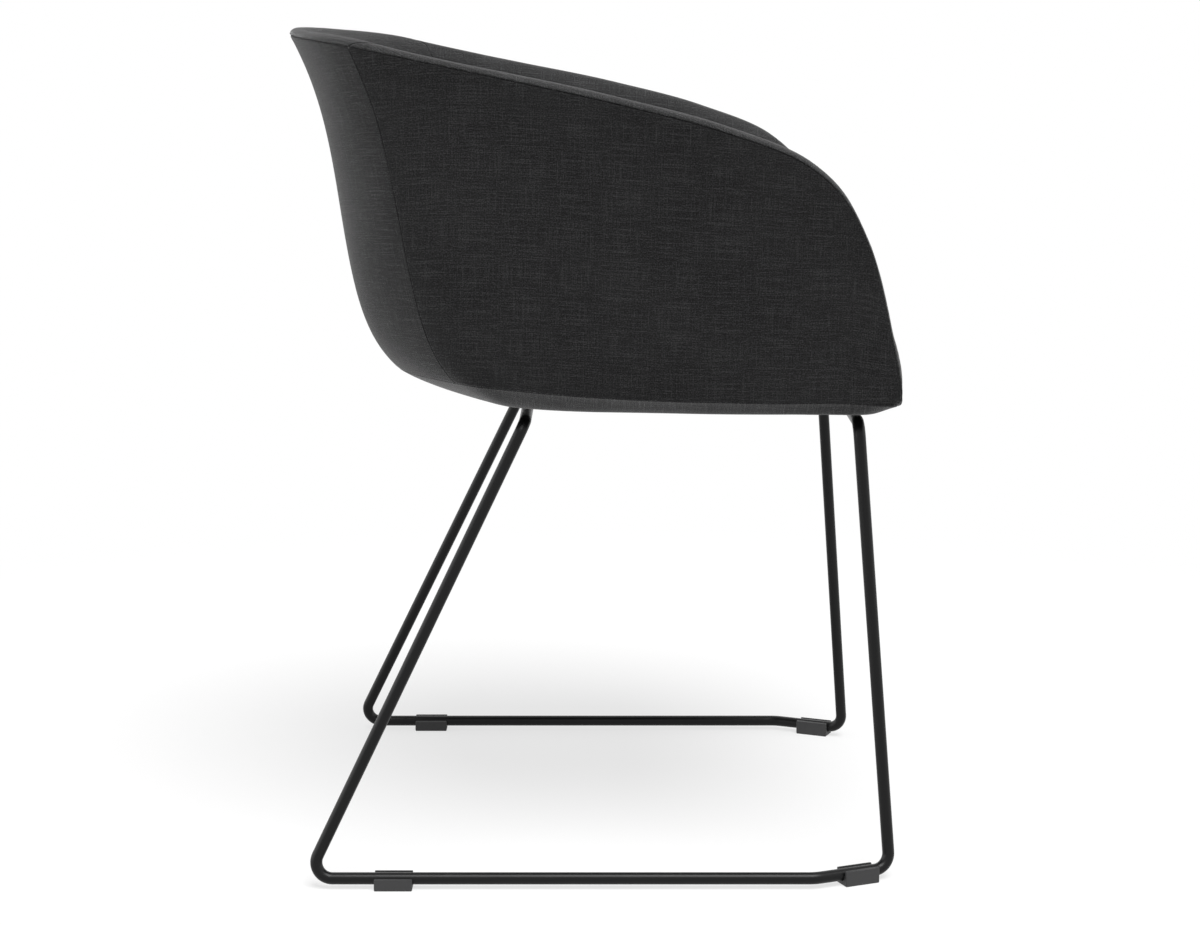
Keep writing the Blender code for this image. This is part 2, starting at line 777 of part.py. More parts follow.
def mesh_object(name, points, faces):
    mesh = bpy.data.meshes.new(name)
    mesh.from_pydata([tuple(point) for point in points], [], faces)
    shape = bmesh.new()
    shape.from_mesh(mesh)
    bmesh.ops.triangulate(shape, faces=[face for face in shape.faces if len(face.verts) == 4],
                          quad_method="FIXED")
    bmesh.ops.recalc_face_normals(shape, faces=shape.faces)
    shape.to_mesh(mesh)
    shape.free()
    thing = bpy.data.objects.new(name, mesh)
    bpy.context.scene.collection.objects.link(thing)
    return thing


def cut(thing, cutter):
    modifier = thing.modifiers.new("holes", "BOOLEAN")
    modifier.operation = "DIFFERENCE"
    modifier.solver = "EXACT"
    modifier.object = cutter


def build():
    for thing in list(bpy.data.objects):
        bpy.data.objects.remove(thing)
    pieces = shell_pieces() + frame_pieces() + fastener_pieces()
    lengths = [point[1] for _, piece in pieces for point in piece[0]]
    middle = (min(lengths) + max(lengths)) / 2

    def placed(points):
        return [(x, middle - along, z) for x, along, z in points]

    things = {}
    for name, (points, faces) in pieces:
        things[name] = mesh_object(name, placed(points), faces)
        things[name].data.materials.append(material_for(name))
    for name, (points, faces) in cutters().items():
        things[name] = mesh_object(name, placed(points), faces)
        things[name].hide_render = True
        things[name].display_type = "WIRE"
    cut(things["bottom_cover"], things["cut_screw_holes"])
    cut(things["mount_plate_left"], things["cut_screw_holes"])
    cut(things["mount_plate_right"], things["cut_screw_holes"])
    cut(things["structural_shell"], things["cut_insert_holes"])


build()
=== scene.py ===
"""Dining armchair: upholstered bucket shell on a bent steel rod sled, dressed for a studio picture."""
import math

import bmesh
import bpy
import numpy as np
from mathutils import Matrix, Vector


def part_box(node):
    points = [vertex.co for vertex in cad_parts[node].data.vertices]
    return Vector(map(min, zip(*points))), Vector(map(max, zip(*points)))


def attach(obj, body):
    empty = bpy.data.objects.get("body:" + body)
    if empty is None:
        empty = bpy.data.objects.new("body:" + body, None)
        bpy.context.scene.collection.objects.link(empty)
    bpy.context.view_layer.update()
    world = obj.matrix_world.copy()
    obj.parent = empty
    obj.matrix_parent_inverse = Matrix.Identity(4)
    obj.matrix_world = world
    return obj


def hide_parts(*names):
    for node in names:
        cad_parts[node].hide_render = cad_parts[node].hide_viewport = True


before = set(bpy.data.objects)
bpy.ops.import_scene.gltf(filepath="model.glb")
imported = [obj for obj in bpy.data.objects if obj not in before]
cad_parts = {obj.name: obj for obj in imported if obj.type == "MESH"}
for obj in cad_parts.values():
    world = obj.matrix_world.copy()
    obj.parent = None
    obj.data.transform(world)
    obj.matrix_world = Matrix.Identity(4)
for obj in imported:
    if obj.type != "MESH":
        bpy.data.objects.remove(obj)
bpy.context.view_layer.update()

# Shell sizes, metres; the arm rims are fuller than the solids' own
BACK_TOP = 0.790
UNDERSIDE = 0.4375
SHELL_WIDTH = 0.602
SHELL_DEPTH = 0.578
ARM_WALL = 0.0290
BACK_WALL = 0.0190
FRONT_WALL = 0.0336
ARM_ROLL = 0.0040
BACK_ROLL = 0.0052
NOSE_ROLL = 0.0032
FRONT_ROLL = 0.0040
SHOULDER = 0.0220
SEAT_THICKNESS = 0.0340
OUTER_FABRIC = 0.0022
INNER_FABRIC = 0.0018
SHELL_WALL = 0.0050
LAYER_GAP = 0.0009
THREAD = 0.0004

# Lines of the shell, from the middle of the back round to the middle of the front edge:
# place along the rim, then the rim seam and the bottom seam in millimetres, as across,
# along with the front positive, and up from the underside
DRAWN_SIZE = (602, 578, 352.5)
STATIONS = (
    ("back middle", 0.00, (0, -301, 346), (0, -203, 29)),
    ("back quarter", 0.11, (138, -286, 344), (112, -192, 27)),
    ("back seam", 0.22, (252, -224, 336), (216, -135, 28)),
    ("rear arm", 0.34, (279, -100, 311), (235, -85, 24)),
    ("mid arm", 0.46, (298, 18, 286), (249, -5, 19)),
    ("fore arm", 0.55, (301, 110, 262), (253, 65, 16)),
    ("arm seam", 0.63, (296, 186, 231), (254, 120, 15)),
    ("arm nose", 0.675, (286, 217, 203), (253, 155, 14)),
    ("arm front", 0.72, (272, 240, 162), (252, 187, 14)),
    ("low front", 0.80, (257, 265, 73), (251, 224, 14)),
    ("corner", 0.86, (247, 276, 17), (243, 271, 10)),
    ("front quarter", 0.92, (170, 275, 3), (166, 260, 1)),
    ("front middle", 1.00, (0, 278, 3), (0, 260, 1)),
)
STATION_PLACES = {station[0]: station[1] for station in STATIONS}

# Places along the rim where seams lie and shapes begin or end, and two runs of places
FLAT_START = 0.06
BELLY_START = STATION_PLACES["back quarter"]
FLARE_END = STATION_PLACES["back seam"]
BACK_SEAM = 0.2225
WALL_END = 0.36
SIDE_START = STATION_PLACES["mid arm"]
NOSE_START = 0.48
ARM_SEAM = STATION_PLACES["arm seam"]
ROLL_END = STATION_PLACES["arm front"]
LOW_FRONT = STATION_PLACES["low front"]
SIDE_END = STATION_PLACES["corner"]
FRONT_START = STATION_PLACES["front quarter"]
PLACE_STEP = 0.002
CREASE_FADE = 0.03

# Levels, from 0 in the middle of the seat to 1 at the rim seam
FLAT_LEVEL = 0.15
SEAM_LEVEL = 0.38
CREASE_LEVEL = 0.42
FRONT_LEVEL = 0.52
WALL_START = 0.61
SEAM_END = 0.62
WIDTH_LEVEL = 0.75
WALL_LEVEL = 0.84
HOOK_START = 0.86
CORE_TOP = 0.975
NEAR_RIM = 0.98
HOOK_RUN = 0.12
FOAM_FADE = 0.16

# Shares that shape the profile from the middle of the seat to the rim
FLAT_SHARE = (0.69, 0.840, 0.890, 0.905)
FLAT_ENDS = (FLAT_START, SIDE_START, ROLL_END, SIDE_END)
TURN_UP = 0.8
FLAT_LEAVE = (1.0, 0.7)
STRIP_ARRIVE = 1.3
BELLY = (0.58, 0.27)
RIM_FLARE = (1.95, 1.60)
RIM_RISE = 1.00
SEAM_RISE = 0.52
SEAT_CENTRE = 0.0778
CREST = (0.66, 0.5)

# Seams and creases, metres: a seam is the radius and depth of its rounded edges, SOFT_SHADE adds to the
# distance from soft seams and the crease so that their painted shade is fainter, and FAR is away from all
RIM_SEAM = (0.0019, 0.0022)
SOFT_SEAM = (0.0014, 0.0007)
CREASE = (0.0090, 0.0040)
SOFT_SHADE = 0.0007
FAR = 1.0
RIDGE = 0.0016
RIDGE_REACH = 0.014
RIDGE_FADE = 0.05

# Slants of the cross seams over the rim, as shifts of place
BACK_SLANT = 0.028
ARM_SLANT = 0.010
HOOK = 0.0035
SLANT_REACH = 0.06

# Inner front corners, let out where the padding would fold: places, and rows up to 1 at the rim
# seam's level and on to 2 over the rim
CORNER_REACH = (0.78, 0.98)
CORNER_FADE = 0.04
CORNER_ROWS = (0.02, 1.5)
CORNER_ROW_FADE = 0.2
CORNER_ROUNDS = 300

# Padding swell, metres, its cloth runs, and how tightly covers and pads are filled
SEAT_SWELL = 0.0050
PAD_SWELL = 0.0018
SWELL_STEP = 0.014
SWELL_EASE = 0.15
PAD_PRESSURE = 4.0
PAD_MASS = 0.02
PAD_FRAMES = 20

# Unevenness of the cloth, metres; a wave has its radians per metre across, along and up, and its start
RIPPLE = 0.00025
RIPPLE_WAVES = ((31, 0, 17, 0.0), (0, 27, -23, 1.3), (0, 53, 41, 0.7))
LAST_WAVE = 0.6
RIPPLE_START = 0.02
RIPPLE_REACH = 0.05
PUCKER = 0.00012
PUCKER_PITCH = 0.011
PUCKER_REACH = 0.008
PUCKER_DRIFT = (2, 0.13)

# Mesh steps: lengths in metres, and counts
GRID_STEP = 0.0060
LEAST_STEPS = 4
SEAM_STEPS = (0.0, 0.0005, 0.0011, 0.0018, 0.0027, 0.0040, 0.0065)
SEAM_CLEAR = 1.2
SEAT_LENGTH = 0.22
WALL_LENGTH = 0.25
STRIP_LENGTH = 0.08
LIP_LENGTH = 0.02
RIM_LENGTH = 0.8
RIM_COUNTS = (40, 64, 32, 44, 28)
WIDTH_POINTS = 40
FLAT_ROWS = 12
CORE_ROWS = 60
ROLL_STEPS = 16
ROLL_EVEN = 0.86
ROLL_LAST = (0.90, 0.935, 0.965, 0.985, 1.0)

# Sled sizes, metres; the rod and the glides' walls are a little fuller than the solids' own
ROD = 0.0114
RUNNER_SPACING = 0.5618
REAR_CORNER = 0.2732
FRONT_CORNER = 0.2721
TOE_START = 0.1998
TOE_IN = 0.0314
REAR_TOP_SPACING = 0.4262
REAR_TOP = 0.0743
FRONT_TOP_SPACING = 0.4320
FRONT_TOP = 0.2405
LEG_HEIGHT = 0.4200
BEND = 0.0150
TOE_BEND = 0.0300
PLATE_THICKNESS = 0.0030
GLIDE_LENGTH = 0.0354
GLIDE_WIDTH = 0.0190
GLIDE_HEIGHT = 0.0152
GLIDE_LOW_WALL = 0.0114
GLIDE_LIP = 0.25
GLIDE_SOLE = 0.0041
GLIDE_CHAMFER = 0.0007
REAR_GLIDE = 0.1926
FRONT_GLIDE = 0.2415
GAP = 0.0003
JOIN = 0.00002
ROD_SIDES = 32
BEND_STEPS = 18
BORE_STEPS = 16
SHARP_EDGE = 35

# Weave: streaks have a scale along both threads, per metre, and the range of noise that shows
STREAKS = {
    "long_weft": ((22, 1000), 0.50, 0.78),
    "weft": ((110, 1100), 0.48, 0.78),
    "warp": ((950, 30), 0.52, 0.80),
    "speck": ((800, 850), 0.42, 0.76),
    "patch": ((9, 14), 0.35, 0.70),
}
STREAK_DETAIL = 2
SLUB = {"long_weft": 0.85, "weft": 0.50}
SLUB_SPECK = (1.6, 0.35)
YARN = {"slub": 1.0, "warp": 0.45, "speck": 0.60, "patch": 0.10}
THREADS = {"slub": 0.8, "warp": 0.5, "speck": 0.5}
THREAD_BUMP = (0.55, 0.0004)
BACK_FAN = 1.6
# Painted shade in the seam grooves: distances from a seam in metres over which the colour darkens, and the
# share of colour left at the seam
SEAM_SHADE = (0.0002, 0.0013)
PAINTED_SEAM_TONE = 0.20
# Fabric roughness, specular and sheen
FABRIC_ROUGHNESS = 0.92
FABRIC_SPECULAR = 0.20
FABRIC_SHEEN = (0.36, 0.31)

# Colours
OUTER_DARK = (0.0030, 0.0030, 0.0032)
OUTER_PALE = (0.0348, 0.0348, 0.0356)
# The inside cloth is the outside cloth painted paler, as painted light from above on the seat, the inner
# back and arms, and the rims
LIT_INNER_DARK = (0.0120, 0.0120, 0.0123)
LIT_INNER_PALE = (0.0680, 0.0680, 0.0690)
STEEL_BLACK = (0.0040, 0.0040, 0.0042)
GLIDE_BLACK = (0.0240, 0.0240, 0.0248)
SHELL_GREY = (0.0500, 0.0500, 0.0520)
ZINC = (0.4200, 0.4300, 0.4400)
WHITE = (1.0, 1.0, 1.0)

# Hard finishes: colour, roughness, metallic, grain per metre, strength of its bump, spread of tone, specular
FINISHES = {
    "black_powder_coat": (STEEL_BLACK, 0.34, 0.0, 900, 0.20, 0.12, 0.20),
    "black_moulded_plastic": (GLIDE_BLACK, 0.55, 0.0, 700, 0.20, 0.10, 0.50),
    "plate_powder_coat": (STEEL_BLACK, 0.45, 0.0, 800, 0.25, 0.12, 0.50),
    "zinc_plate": (ZINC, 0.34, 1.0, 1200, 0.10, 0.15, 0.50),
    "moulded_shell": (SHELL_GREY, 0.60, 0.0, 300, 0.15, 0.10, 0.50),
}
GRAIN_DETAIL = 4
GRAIN_DEPTH = 0.0002
GLOSS_SPREAD = 0.06

# Studio: the floor and its shadow, the sky, and lamps by strength, angle and direction
FLOOR_SIZE = 60
FLOOR_WHITE = (0.92, 0.92, 0.92)
FLOOR_BOUNCE = (0.88, 0.88, 0.88)
FLOOR_ROUGHNESS = 0.9
FLOOR_LIFT = 0.69
SHADOW_REACH = (0.75, 1.5)
SKY_STRENGTH = 0.20
LAMPS = (("key", 3.20, 36.0, (-0.26, -0.11, 0.60)),
         ("rear_fill", 1.60, 70.0, (-0.04, 0.98, 0.12)),
         ("front_fill", 0.60, 70.0, (-0.05, -0.98, 0.12)),
         ("far_fill", 0.50, 70.0, (0.98, 0.10, 0.12)))

# Camera, metres and degrees
CAMERA_DISTANCE = 2.65
CAMERA_HEIGHT = 0.799
CAMERA_TILT = 9.522
LENS = 79.547
SENSOR = 36.0
IMAGE_WIDTH = 1200
HALF_PIXEL = 0.5 / IMAGE_WIDTH

# The part's frame has its middle a little off the shell's own zero along the chair
REAR_GLIDE_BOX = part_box("glide_rear_left")
MIDDLE = (REAR_GLIDE_BOX[0].y + REAR_GLIDE_BOX[1].y) / 2 - REAR_GLIDE
CENTRE = np.array((0, SEAT_CENTRE * SHELL_DEPTH, UNDERSIDE))
LEVEL_PART = np.array((1.0, 1.0, 0))
UP = np.array((0, 0, 1.0))
TINY = 1e-9


# Small numeric helpers

def unit(vectors):
    vectors = np.asarray(vectors, float)
    return vectors / np.linalg.norm(vectors, axis=-1, keepdims=True)


def eased(value):
    """Smooth step from 0 to 1."""
    value = np.clip(value, 0, 1)
    return value * value * (3 - 2 * value)


def blend(pair, share):
    return pair[0] + (pair[1] - pair[0]) * eased(share)


def column(values):
    return np.asarray(values, float)[..., None]


def cubic(start, end, leave, arrive, share):
    """Points on a cubic from start to end that leaves and arrives along given directions."""
    rest = 1 - share
    return (start * rest**2 * (1 + 2 * share) + end * share**2 * (3 - 2 * share)
            + leave * share * rest**2 - arrive * share**2 * rest)


def smooth_through(xs, ys, at):
    """Values of a smooth curve through ys at xs."""
    step = np.diff(xs)[:, None]
    slope = np.diff(ys, axis=0) / step
    tangent = np.empty_like(ys)
    tangent[1:-1] = (slope[:-1] * step[1:] + slope[1:] * step[:-1]) / (step[:-1] + step[1:])
    tangent[0] = slope[0]
    tangent[-1] = slope[-1]
    index = np.clip(np.searchsorted(xs, at, side="right") - 1, 0, len(xs) - 2)
    run = step[index]
    share = column(at - xs[index]) / run
    return cubic(ys[index], ys[index + 1], run * tangent[index], run * tangent[index + 1], share)


# Shell surface; place and level are arrays of one shape

def drawn_rails():
    """Places and rails of the drawn stations, carried on past the middles as their mirror images."""
    places = np.array([row[1] for row in STATIONS])
    rails = np.array([row[2:] for row in STATIONS], float)
    scale = np.array((SHELL_WIDTH, SHELL_DEPTH, BACK_TOP - UNDERSIDE)) / DRAWN_SIZE
    rails = rails * scale + (0, 0, UNDERSIDE)
    other_side = np.array((-1, 1, 1))
    head = rails[2:0:-1] * other_side
    tail = rails[-2:-4:-1] * other_side
    places = np.concatenate((-places[2:0:-1], places, 2 - places[-2:-4:-1]))
    return places, np.concatenate((head, rails, tail)).reshape(len(places), -1)


PLACES, RAILS = drawn_rails()


def mirrored_side(points, place):
    ones = np.ones_like(place)
    return points * np.stack((np.where(place < 0, -1.0, 1.0), ones, ones), -1)


def skin(place, level):
    """Points on the outside of the shell; place runs -1..1, 0 at the back, 1 at the front."""
    away = np.abs(place)
    found = smooth_through(PLACES, RAILS, away)
    rim, seam = found[..., :3], found[..., 3:]
    side = (away - FLAT_START) / (SIDE_START - FLAT_START)
    share = FLAT_SHARE[0]
    for start, end, later in zip(FLAT_ENDS, FLAT_ENDS[1:], FLAT_SHARE[1:]):
        share = blend((share, later), (away - start) / (end - start))
    flat = CENTRE + (seam - CENTRE) * LEVEL_PART * column(share)
    climb = rim - seam
    length = np.linalg.norm(climb, axis=-1)
    belly = blend(BELLY, (away - BELLY_START) / (SIDE_START - BELLY_START))
    heading = unit(climb * LEVEL_PART) * column(belly * length)
    heading = heading + UP * column(SEAM_RISE * climb[..., 2])
    turn = heading * column(TURN_UP * (seam[..., 2] - UNDERSIDE) / heading[..., 2])
    turn = turn + ((seam - flat) * STRIP_ARRIVE - turn) * column(eased(side))
    flare = column(blend(RIM_FLARE, away / FLARE_END)) * LEVEL_PART + UP * RIM_RISE
    below = CENTRE + (flat - CENTRE) * column(level / FLAT_LEVEL)
    share = column(np.clip((level - FLAT_LEVEL) / (SEAM_LEVEL - FLAT_LEVEL), 0, 1))
    leave = (seam - flat) * LEVEL_PART * column(blend(FLAT_LEAVE, side))
    turned = cubic(flat, seam, leave, turn, share)
    share = column(np.clip((level - SEAM_LEVEL) / (1 - SEAM_LEVEL), 0, 1))
    wall = cubic(seam, rim, heading, climb * flare, share)
    upper = np.where(column(level < SEAM_LEVEL), turned, wall)
    return mirrored_side(np.where(column(level <= FLAT_LEVEL), below, upper), place)


def front_share(place):
    """Nought along the sides, one along the front edge."""
    return eased((np.abs(place) - SIDE_END) / (FRONT_START - SIDE_END))


def wall_direction(place):
    """Unit directions through the upper wall, on the left side, towards the sitter."""
    level = np.full_like(place, WALL_LEVEL)
    ahead = skin(np.minimum(place + PLACE_STEP, 1), level)
    along = ahead - skin(np.maximum(place - PLACE_STEP, 0), level)
    along = np.where(column(place < PLACE_STEP), (1.0, 0, 0), along)
    along = np.where(column(place > 1 - PLACE_STEP), (-1.0, 0, 0), along)
    up = skin(place, level + PLACE_STEP) - skin(place, level - PLACE_STEP)
    upright = column(front_share(place))
    return unit(unit(np.cross(up, along)) * (1 - upright) + UP * upright)


def inward(place, level):
    """Unit directions through the upholstery: upright in the seat, square to the wall above."""
    part = column(eased((level - FLAT_LEVEL) / (WALL_START - FLAT_LEVEL)))
    direction = UP * (1 - part) + wall_direction(np.abs(place)) * part
    return mirrored_side(unit(direction), place)


def wall_and_roll(place):
    """Wall thickness at the rim, height of the roll over it, and height of its inner shoulder."""
    away = np.abs(place)
    front = front_share(place)
    wall = blend((BACK_WALL, ARM_WALL), away / WALL_END)
    height = blend((BACK_ROLL, ARM_ROLL), away / ROLL_END)
    height = blend((height, NOSE_ROLL), (away - NOSE_START) / (ARM_SEAM - NOSE_START))
    wall = wall + (FRONT_WALL - wall) * front
    height = height + (FRONT_ROLL - height) * front
    return wall, height, SHOULDER + (height - SHOULDER) * front


def crest_share(place):
    """Share of the wall that lies inside the crest of the roll."""
    return CREST[0] + (CREST[1] - CREST[0]) * front_share(place)


def thickness(place, level):
    """Thickness of the whole upholstery, less where the roll rounds it off."""
    wall, height, shoulder = wall_and_roll(place)
    ones = np.ones_like(place)
    length = np.linalg.norm(skin(place, ones) - skin(place, ones * WALL_LEVEL), axis=-1) / (1 - WALL_LEVEL)
    climb = np.clip(1 - (height + (1 - level) * length) / shoulder, 0, 1)
    rounded = wall * crest_share(place) * (1 - np.sqrt(1 - climb**2))
    fade = eased((level - FLAT_LEVEL) / (WALL_START - FLAT_LEVEL))
    return SEAT_THICKNESS + (wall - SEAT_THICKNESS) * fade - rounded


def bottom_seam(place):
    """Level of the bottom seam."""
    climb = np.clip((np.abs(place) - LOW_FRONT) / (SIDE_END - LOW_FRONT), 0, 1)
    level = SEAM_LEVEL + (SEAM_END - SEAM_LEVEL) * climb**3
    return level - (SEAM_END - FRONT_LEVEL) * front_share(place)


def roll(place, turn, inset):
    """Points over the rim; turn runs from 0 at its inner edge to pi at the rim seam."""
    wall, height, shoulder = wall_and_roll(place)
    ones = np.ones_like(place)
    outer = skin(place, ones)
    across = inward(place, ones)
    rise = outer - skin(place, ones * NEAR_RIM)
    rise = unit(rise - across * column((rise * across).sum(-1)))
    inner = wall * crest_share(place)
    start = np.arcsin(1 - height / shoulder)
    inside = turn < math.pi / 2
    angle = np.where(inside, start + (math.pi / 2 - start) * turn / (math.pi / 2), turn)
    half = np.where(inside, inner, wall - inner) - inset
    tall = np.where(inside, shoulder, height) - inset
    base = np.where(inside, height - shoulder, 0)
    reach = wall - inner + half * np.cos(angle)
    return outer + across * column(reach) + rise * column(base + tall * np.sin(angle))


# Grids of points

def spaced(length, start, end):
    """Shares along a length, close together at the ends that have a seam."""
    count = max(int(length / GRID_STEP), LEAST_STEPS)
    shares = set(np.linspace(0, 1, count + 1).round(5))
    near = [step / length for step in SEAM_STEPS]
    edge = near[-1] * SEAM_CLEAR
    if start:
        shares = {share for share in shares if share > edge} | set(near)
    if end:
        shares = {share for share in shares if share < 1 - edge} | {1 - share for share in near}
    return np.array(sorted(shares))


def round_the_shell():
    """Places once round the shell from the front, closer together near the arm seams and corners."""
    near_arm_seam = ARM_SEAM + np.array(SEAM_STEPS) / RIM_LENGTH
    starts = (0, BACK_SEAM, near_arm_seam[-1], LOW_FRONT, FRONT_START)
    ends = (BACK_SEAM, ARM_SEAM, LOW_FRONT, FRONT_START, 1)
    runs = [np.linspace(*run)[:-1] for run in zip(starts, ends, RIM_COUNTS)]
    runs.insert(2, near_arm_seam[:-1])
    half = np.concatenate(runs)
    return np.concatenate(((-1,), -half[:0:-1], half))


def ahead_of(places, seam):
    """Which steps round the shell lie ahead of a seam."""
    return (np.abs(places) + np.abs(np.roll(places, -1))) / 2 > seam


def panel_width(low, high):
    """Length of a panel between two places, measured part way up the wall."""
    ends = np.linspace(low, high, WIDTH_POINTS)
    return np.linalg.norm(np.diff(skin(ends, np.full_like(ends, WIDTH_LEVEL)), axis=0), axis=-1).sum()


def panel_places(low, high):
    return low + (high - low) * spaced(panel_width(low, high), True, True)


def arc_from(grid, axis, last=False):
    """Distance along grid lines from their first or last points."""
    step = np.linalg.norm(np.diff(grid, axis=axis), axis=-1)
    run = np.cumsum(step, axis=axis)
    start = np.zeros_like(np.take(run, [0], axis=axis))
    run = np.concatenate((start, run), axis=axis)
    return np.take(run, [-1], axis=axis) - run if last else run


def edge_dip(distance, seam):
    """How far a rounded edge falls away at a distance from its seam, given as radius and depth."""
    inside = np.clip(1 - distance / seam[0], 0, 1)
    return seam[1] * (1 - np.sqrt(1 - inside**2))


def ripples(points, distance):
    """Slight unevenness of stretched cloth, with small puckers close to the seams."""
    first, second, last = (np.sin(points @ np.array(wave[:3]) + wave[3]) for wave in RIPPLE_WAVES)
    slow = first * second + LAST_WAVE * last
    along = (points[..., 1] - points[..., 2]) * 2 * math.pi / PUCKER_PITCH
    drift = PUCKER_DRIFT[0] * np.sin(along * PUCKER_DRIFT[1])
    pucker = np.sin(along + drift) * np.exp(-distance / PUCKER_REACH)
    return RIPPLE * slow * np.clip(distance / RIPPLE_START, 0, 1) + PUCKER * pucker


def grid_normals(face, back, closed):
    """Unit directions square to a grid's face, on the side of its back."""
    around = np.roll(face, -1, 0) - np.roll(face, 1, 0) if closed else np.gradient(face, axis=0)
    normal = np.cross(around, np.gradient(face, axis=1))
    normal = normal / np.maximum(np.linalg.norm(normal, axis=-1, keepdims=True), TINY)
    return normal * np.sign((normal * (back - face)).sum(-1, keepdims=True))


# Objects and meshes

def add_object(name, data):
    thing = bpy.data.objects.new(name, data)
    bpy.context.scene.collection.objects.link(thing)
    return thing


def in_part(points):
    """From across, along and up to the part's own axes."""
    return np.stack((points[..., 0], MIDDLE - points[..., 1], points[..., 2]), -1)


def make_object(name, points, faces, uv=None, seam=None):
    """Smooth mesh object, with weave coordinates and distances from the seams where given; the distances set
    the painted seam shade.
    """
    mesh = bpy.data.meshes.new(name)
    mesh.from_pydata([tuple(point) for point in points], [], faces)
    if uv is not None:
        layer = mesh.uv_layers.new(name="weave")
        corner = np.empty(len(mesh.loops), np.int32)
        mesh.loops.foreach_get("vertex_index", corner)
        layer.data.foreach_set("uv", np.asarray(uv, np.float32)[corner].ravel())
    # Distances from the seams, which set the painted seam shade in the fabric's colour
    if seam is not None:
        attribute = mesh.attributes.new("seam", "FLOAT", "POINT")
        attribute.data.foreach_set("value", np.asarray(seam, np.float32))
    shape = bmesh.new()
    shape.from_mesh(mesh)
    bmesh.ops.recalc_face_normals(shape, faces=shape.faces)
    shape.to_mesh(mesh)
    shape.free()
    mesh.shade_smooth()
    return add_object(name, mesh)


def sheet_faces(mask, closed, rows, columns):
    """Faces of a closed sheet with a front and a back grid, kept where the mask is set."""
    def index(side, place, row):
        place = place % columns if closed else place
        place = 0 if closed and row == 0 else place
        return side * columns * rows + place * rows + row

    def kept(place, row):
        place = place % mask.shape[0] if closed else place
        inside = 0 <= place < mask.shape[0] and 0 <= row < mask.shape[1]
        return inside and mask[place, row]

    faces = []
    for place, row in zip(*np.nonzero(mask)):
        ring = ((place, row), (place + 1, row), (place + 1, row + 1), (place, row + 1))
        beside = ((place, row - 1), (place + 1, row), (place, row + 1), (place - 1, row))
        faces.append([index(0, *corner) for corner in ring])
        faces.append([index(1, *corner) for corner in reversed(ring)])
        for edge in range(4):
            if not kept(*beside[edge]):
                a, b = ring[edge], ring[(edge + 1) % 4]
                faces.append([index(0, *b), index(0, *a), index(1, *a), index(1, *b)])
    faces = [list(dict.fromkeys(face)) for face in faces]
    return [face for face in faces if len(face) > 2]


def sheet_object(name, front, back, uv, seam, closed=False, mask=None):
    """Object made of a front and a back grid, closed all round, or of the part that the mask keeps."""
    columns, rows = front.shape[:2]
    if mask is None:
        mask = np.ones((columns if closed else columns - 1, rows - 1), bool)
    faces = sheet_faces(mask, closed, rows, columns)
    points = in_part(np.concatenate((front.reshape(-1, 3), back.reshape(-1, 3))))
    uv = np.concatenate((uv.reshape(-1, 2),) * 2)
    seam = np.concatenate((seam.ravel(),) * 2)
    used = sorted({corner for face in faces for corner in face})
    fresh = np.full(len(points), -1)
    fresh[used] = np.arange(len(used))
    faces = [[int(fresh[corner]) for corner in face] for face in faces]
    return make_object(name, points[used], faces, uv[used], seam[used])


# Outside panels

def near_seam(place, seam):
    return eased(1 - np.abs(np.abs(place) - seam) / SLANT_REACH)


def hooked(place, level):
    """Places moved back near the rim, where the upright back seams lean back."""
    lean = eased((level - HOOK_START) / HOOK_RUN)
    return place - np.sign(place) * HOOK * near_seam(place, BACK_SEAM) * lean


def outer_panel(name, low, high):
    """Outside panel between two upright seams, from the bottom seam to the rim seam."""
    middle = np.array((low + high) / 2)
    tall = np.linalg.norm(skin(middle, np.array(1.0)) - skin(middle, bottom_seam(middle)))
    up = spaced(tall, True, True)
    place = np.repeat(panel_places(low, high)[:, None], len(up), 1)
    level = bottom_seam(place) + (1 - bottom_seam(place)) * up[None, :]
    place = hooked(place, level)
    face = skin(place, level)
    first, last = arc_from(face, 0), arc_from(face, 0, last=True)
    bottom, rim = arc_from(face, 1), arc_from(face, 1, last=True)
    upright = np.minimum.reduce([arc for arc, end in ((first, low), (last, high)) if abs(end) == BACK_SEAM])
    soft = np.minimum.reduce((first, last, bottom))
    # away is the distance from the seams that sets the painted seam shade, and the ripples' reach
    away = np.minimum(rim, soft + SOFT_SHADE)
    into = inward(place, level)
    dip = np.maximum(edge_dip(rim, RIM_SEAM), edge_dip(soft, SOFT_SEAM)) + ripples(face, away)
    dip = dip - RIDGE * np.exp(-upright / RIDGE_REACH) * np.clip(bottom / RIDGE_FADE, 0, 1)
    fanned = -rim - ((first - last) / 2)**2 / (2 * BACK_FAN)
    uv = np.stack((first, fanned) if low < 0 < high else (face[..., 1], bottom), -1)
    back = face + into * column(OUTER_FABRIC + np.minimum(dip, 0))
    return sheet_object(name, face + into * column(dip), back, uv, away)


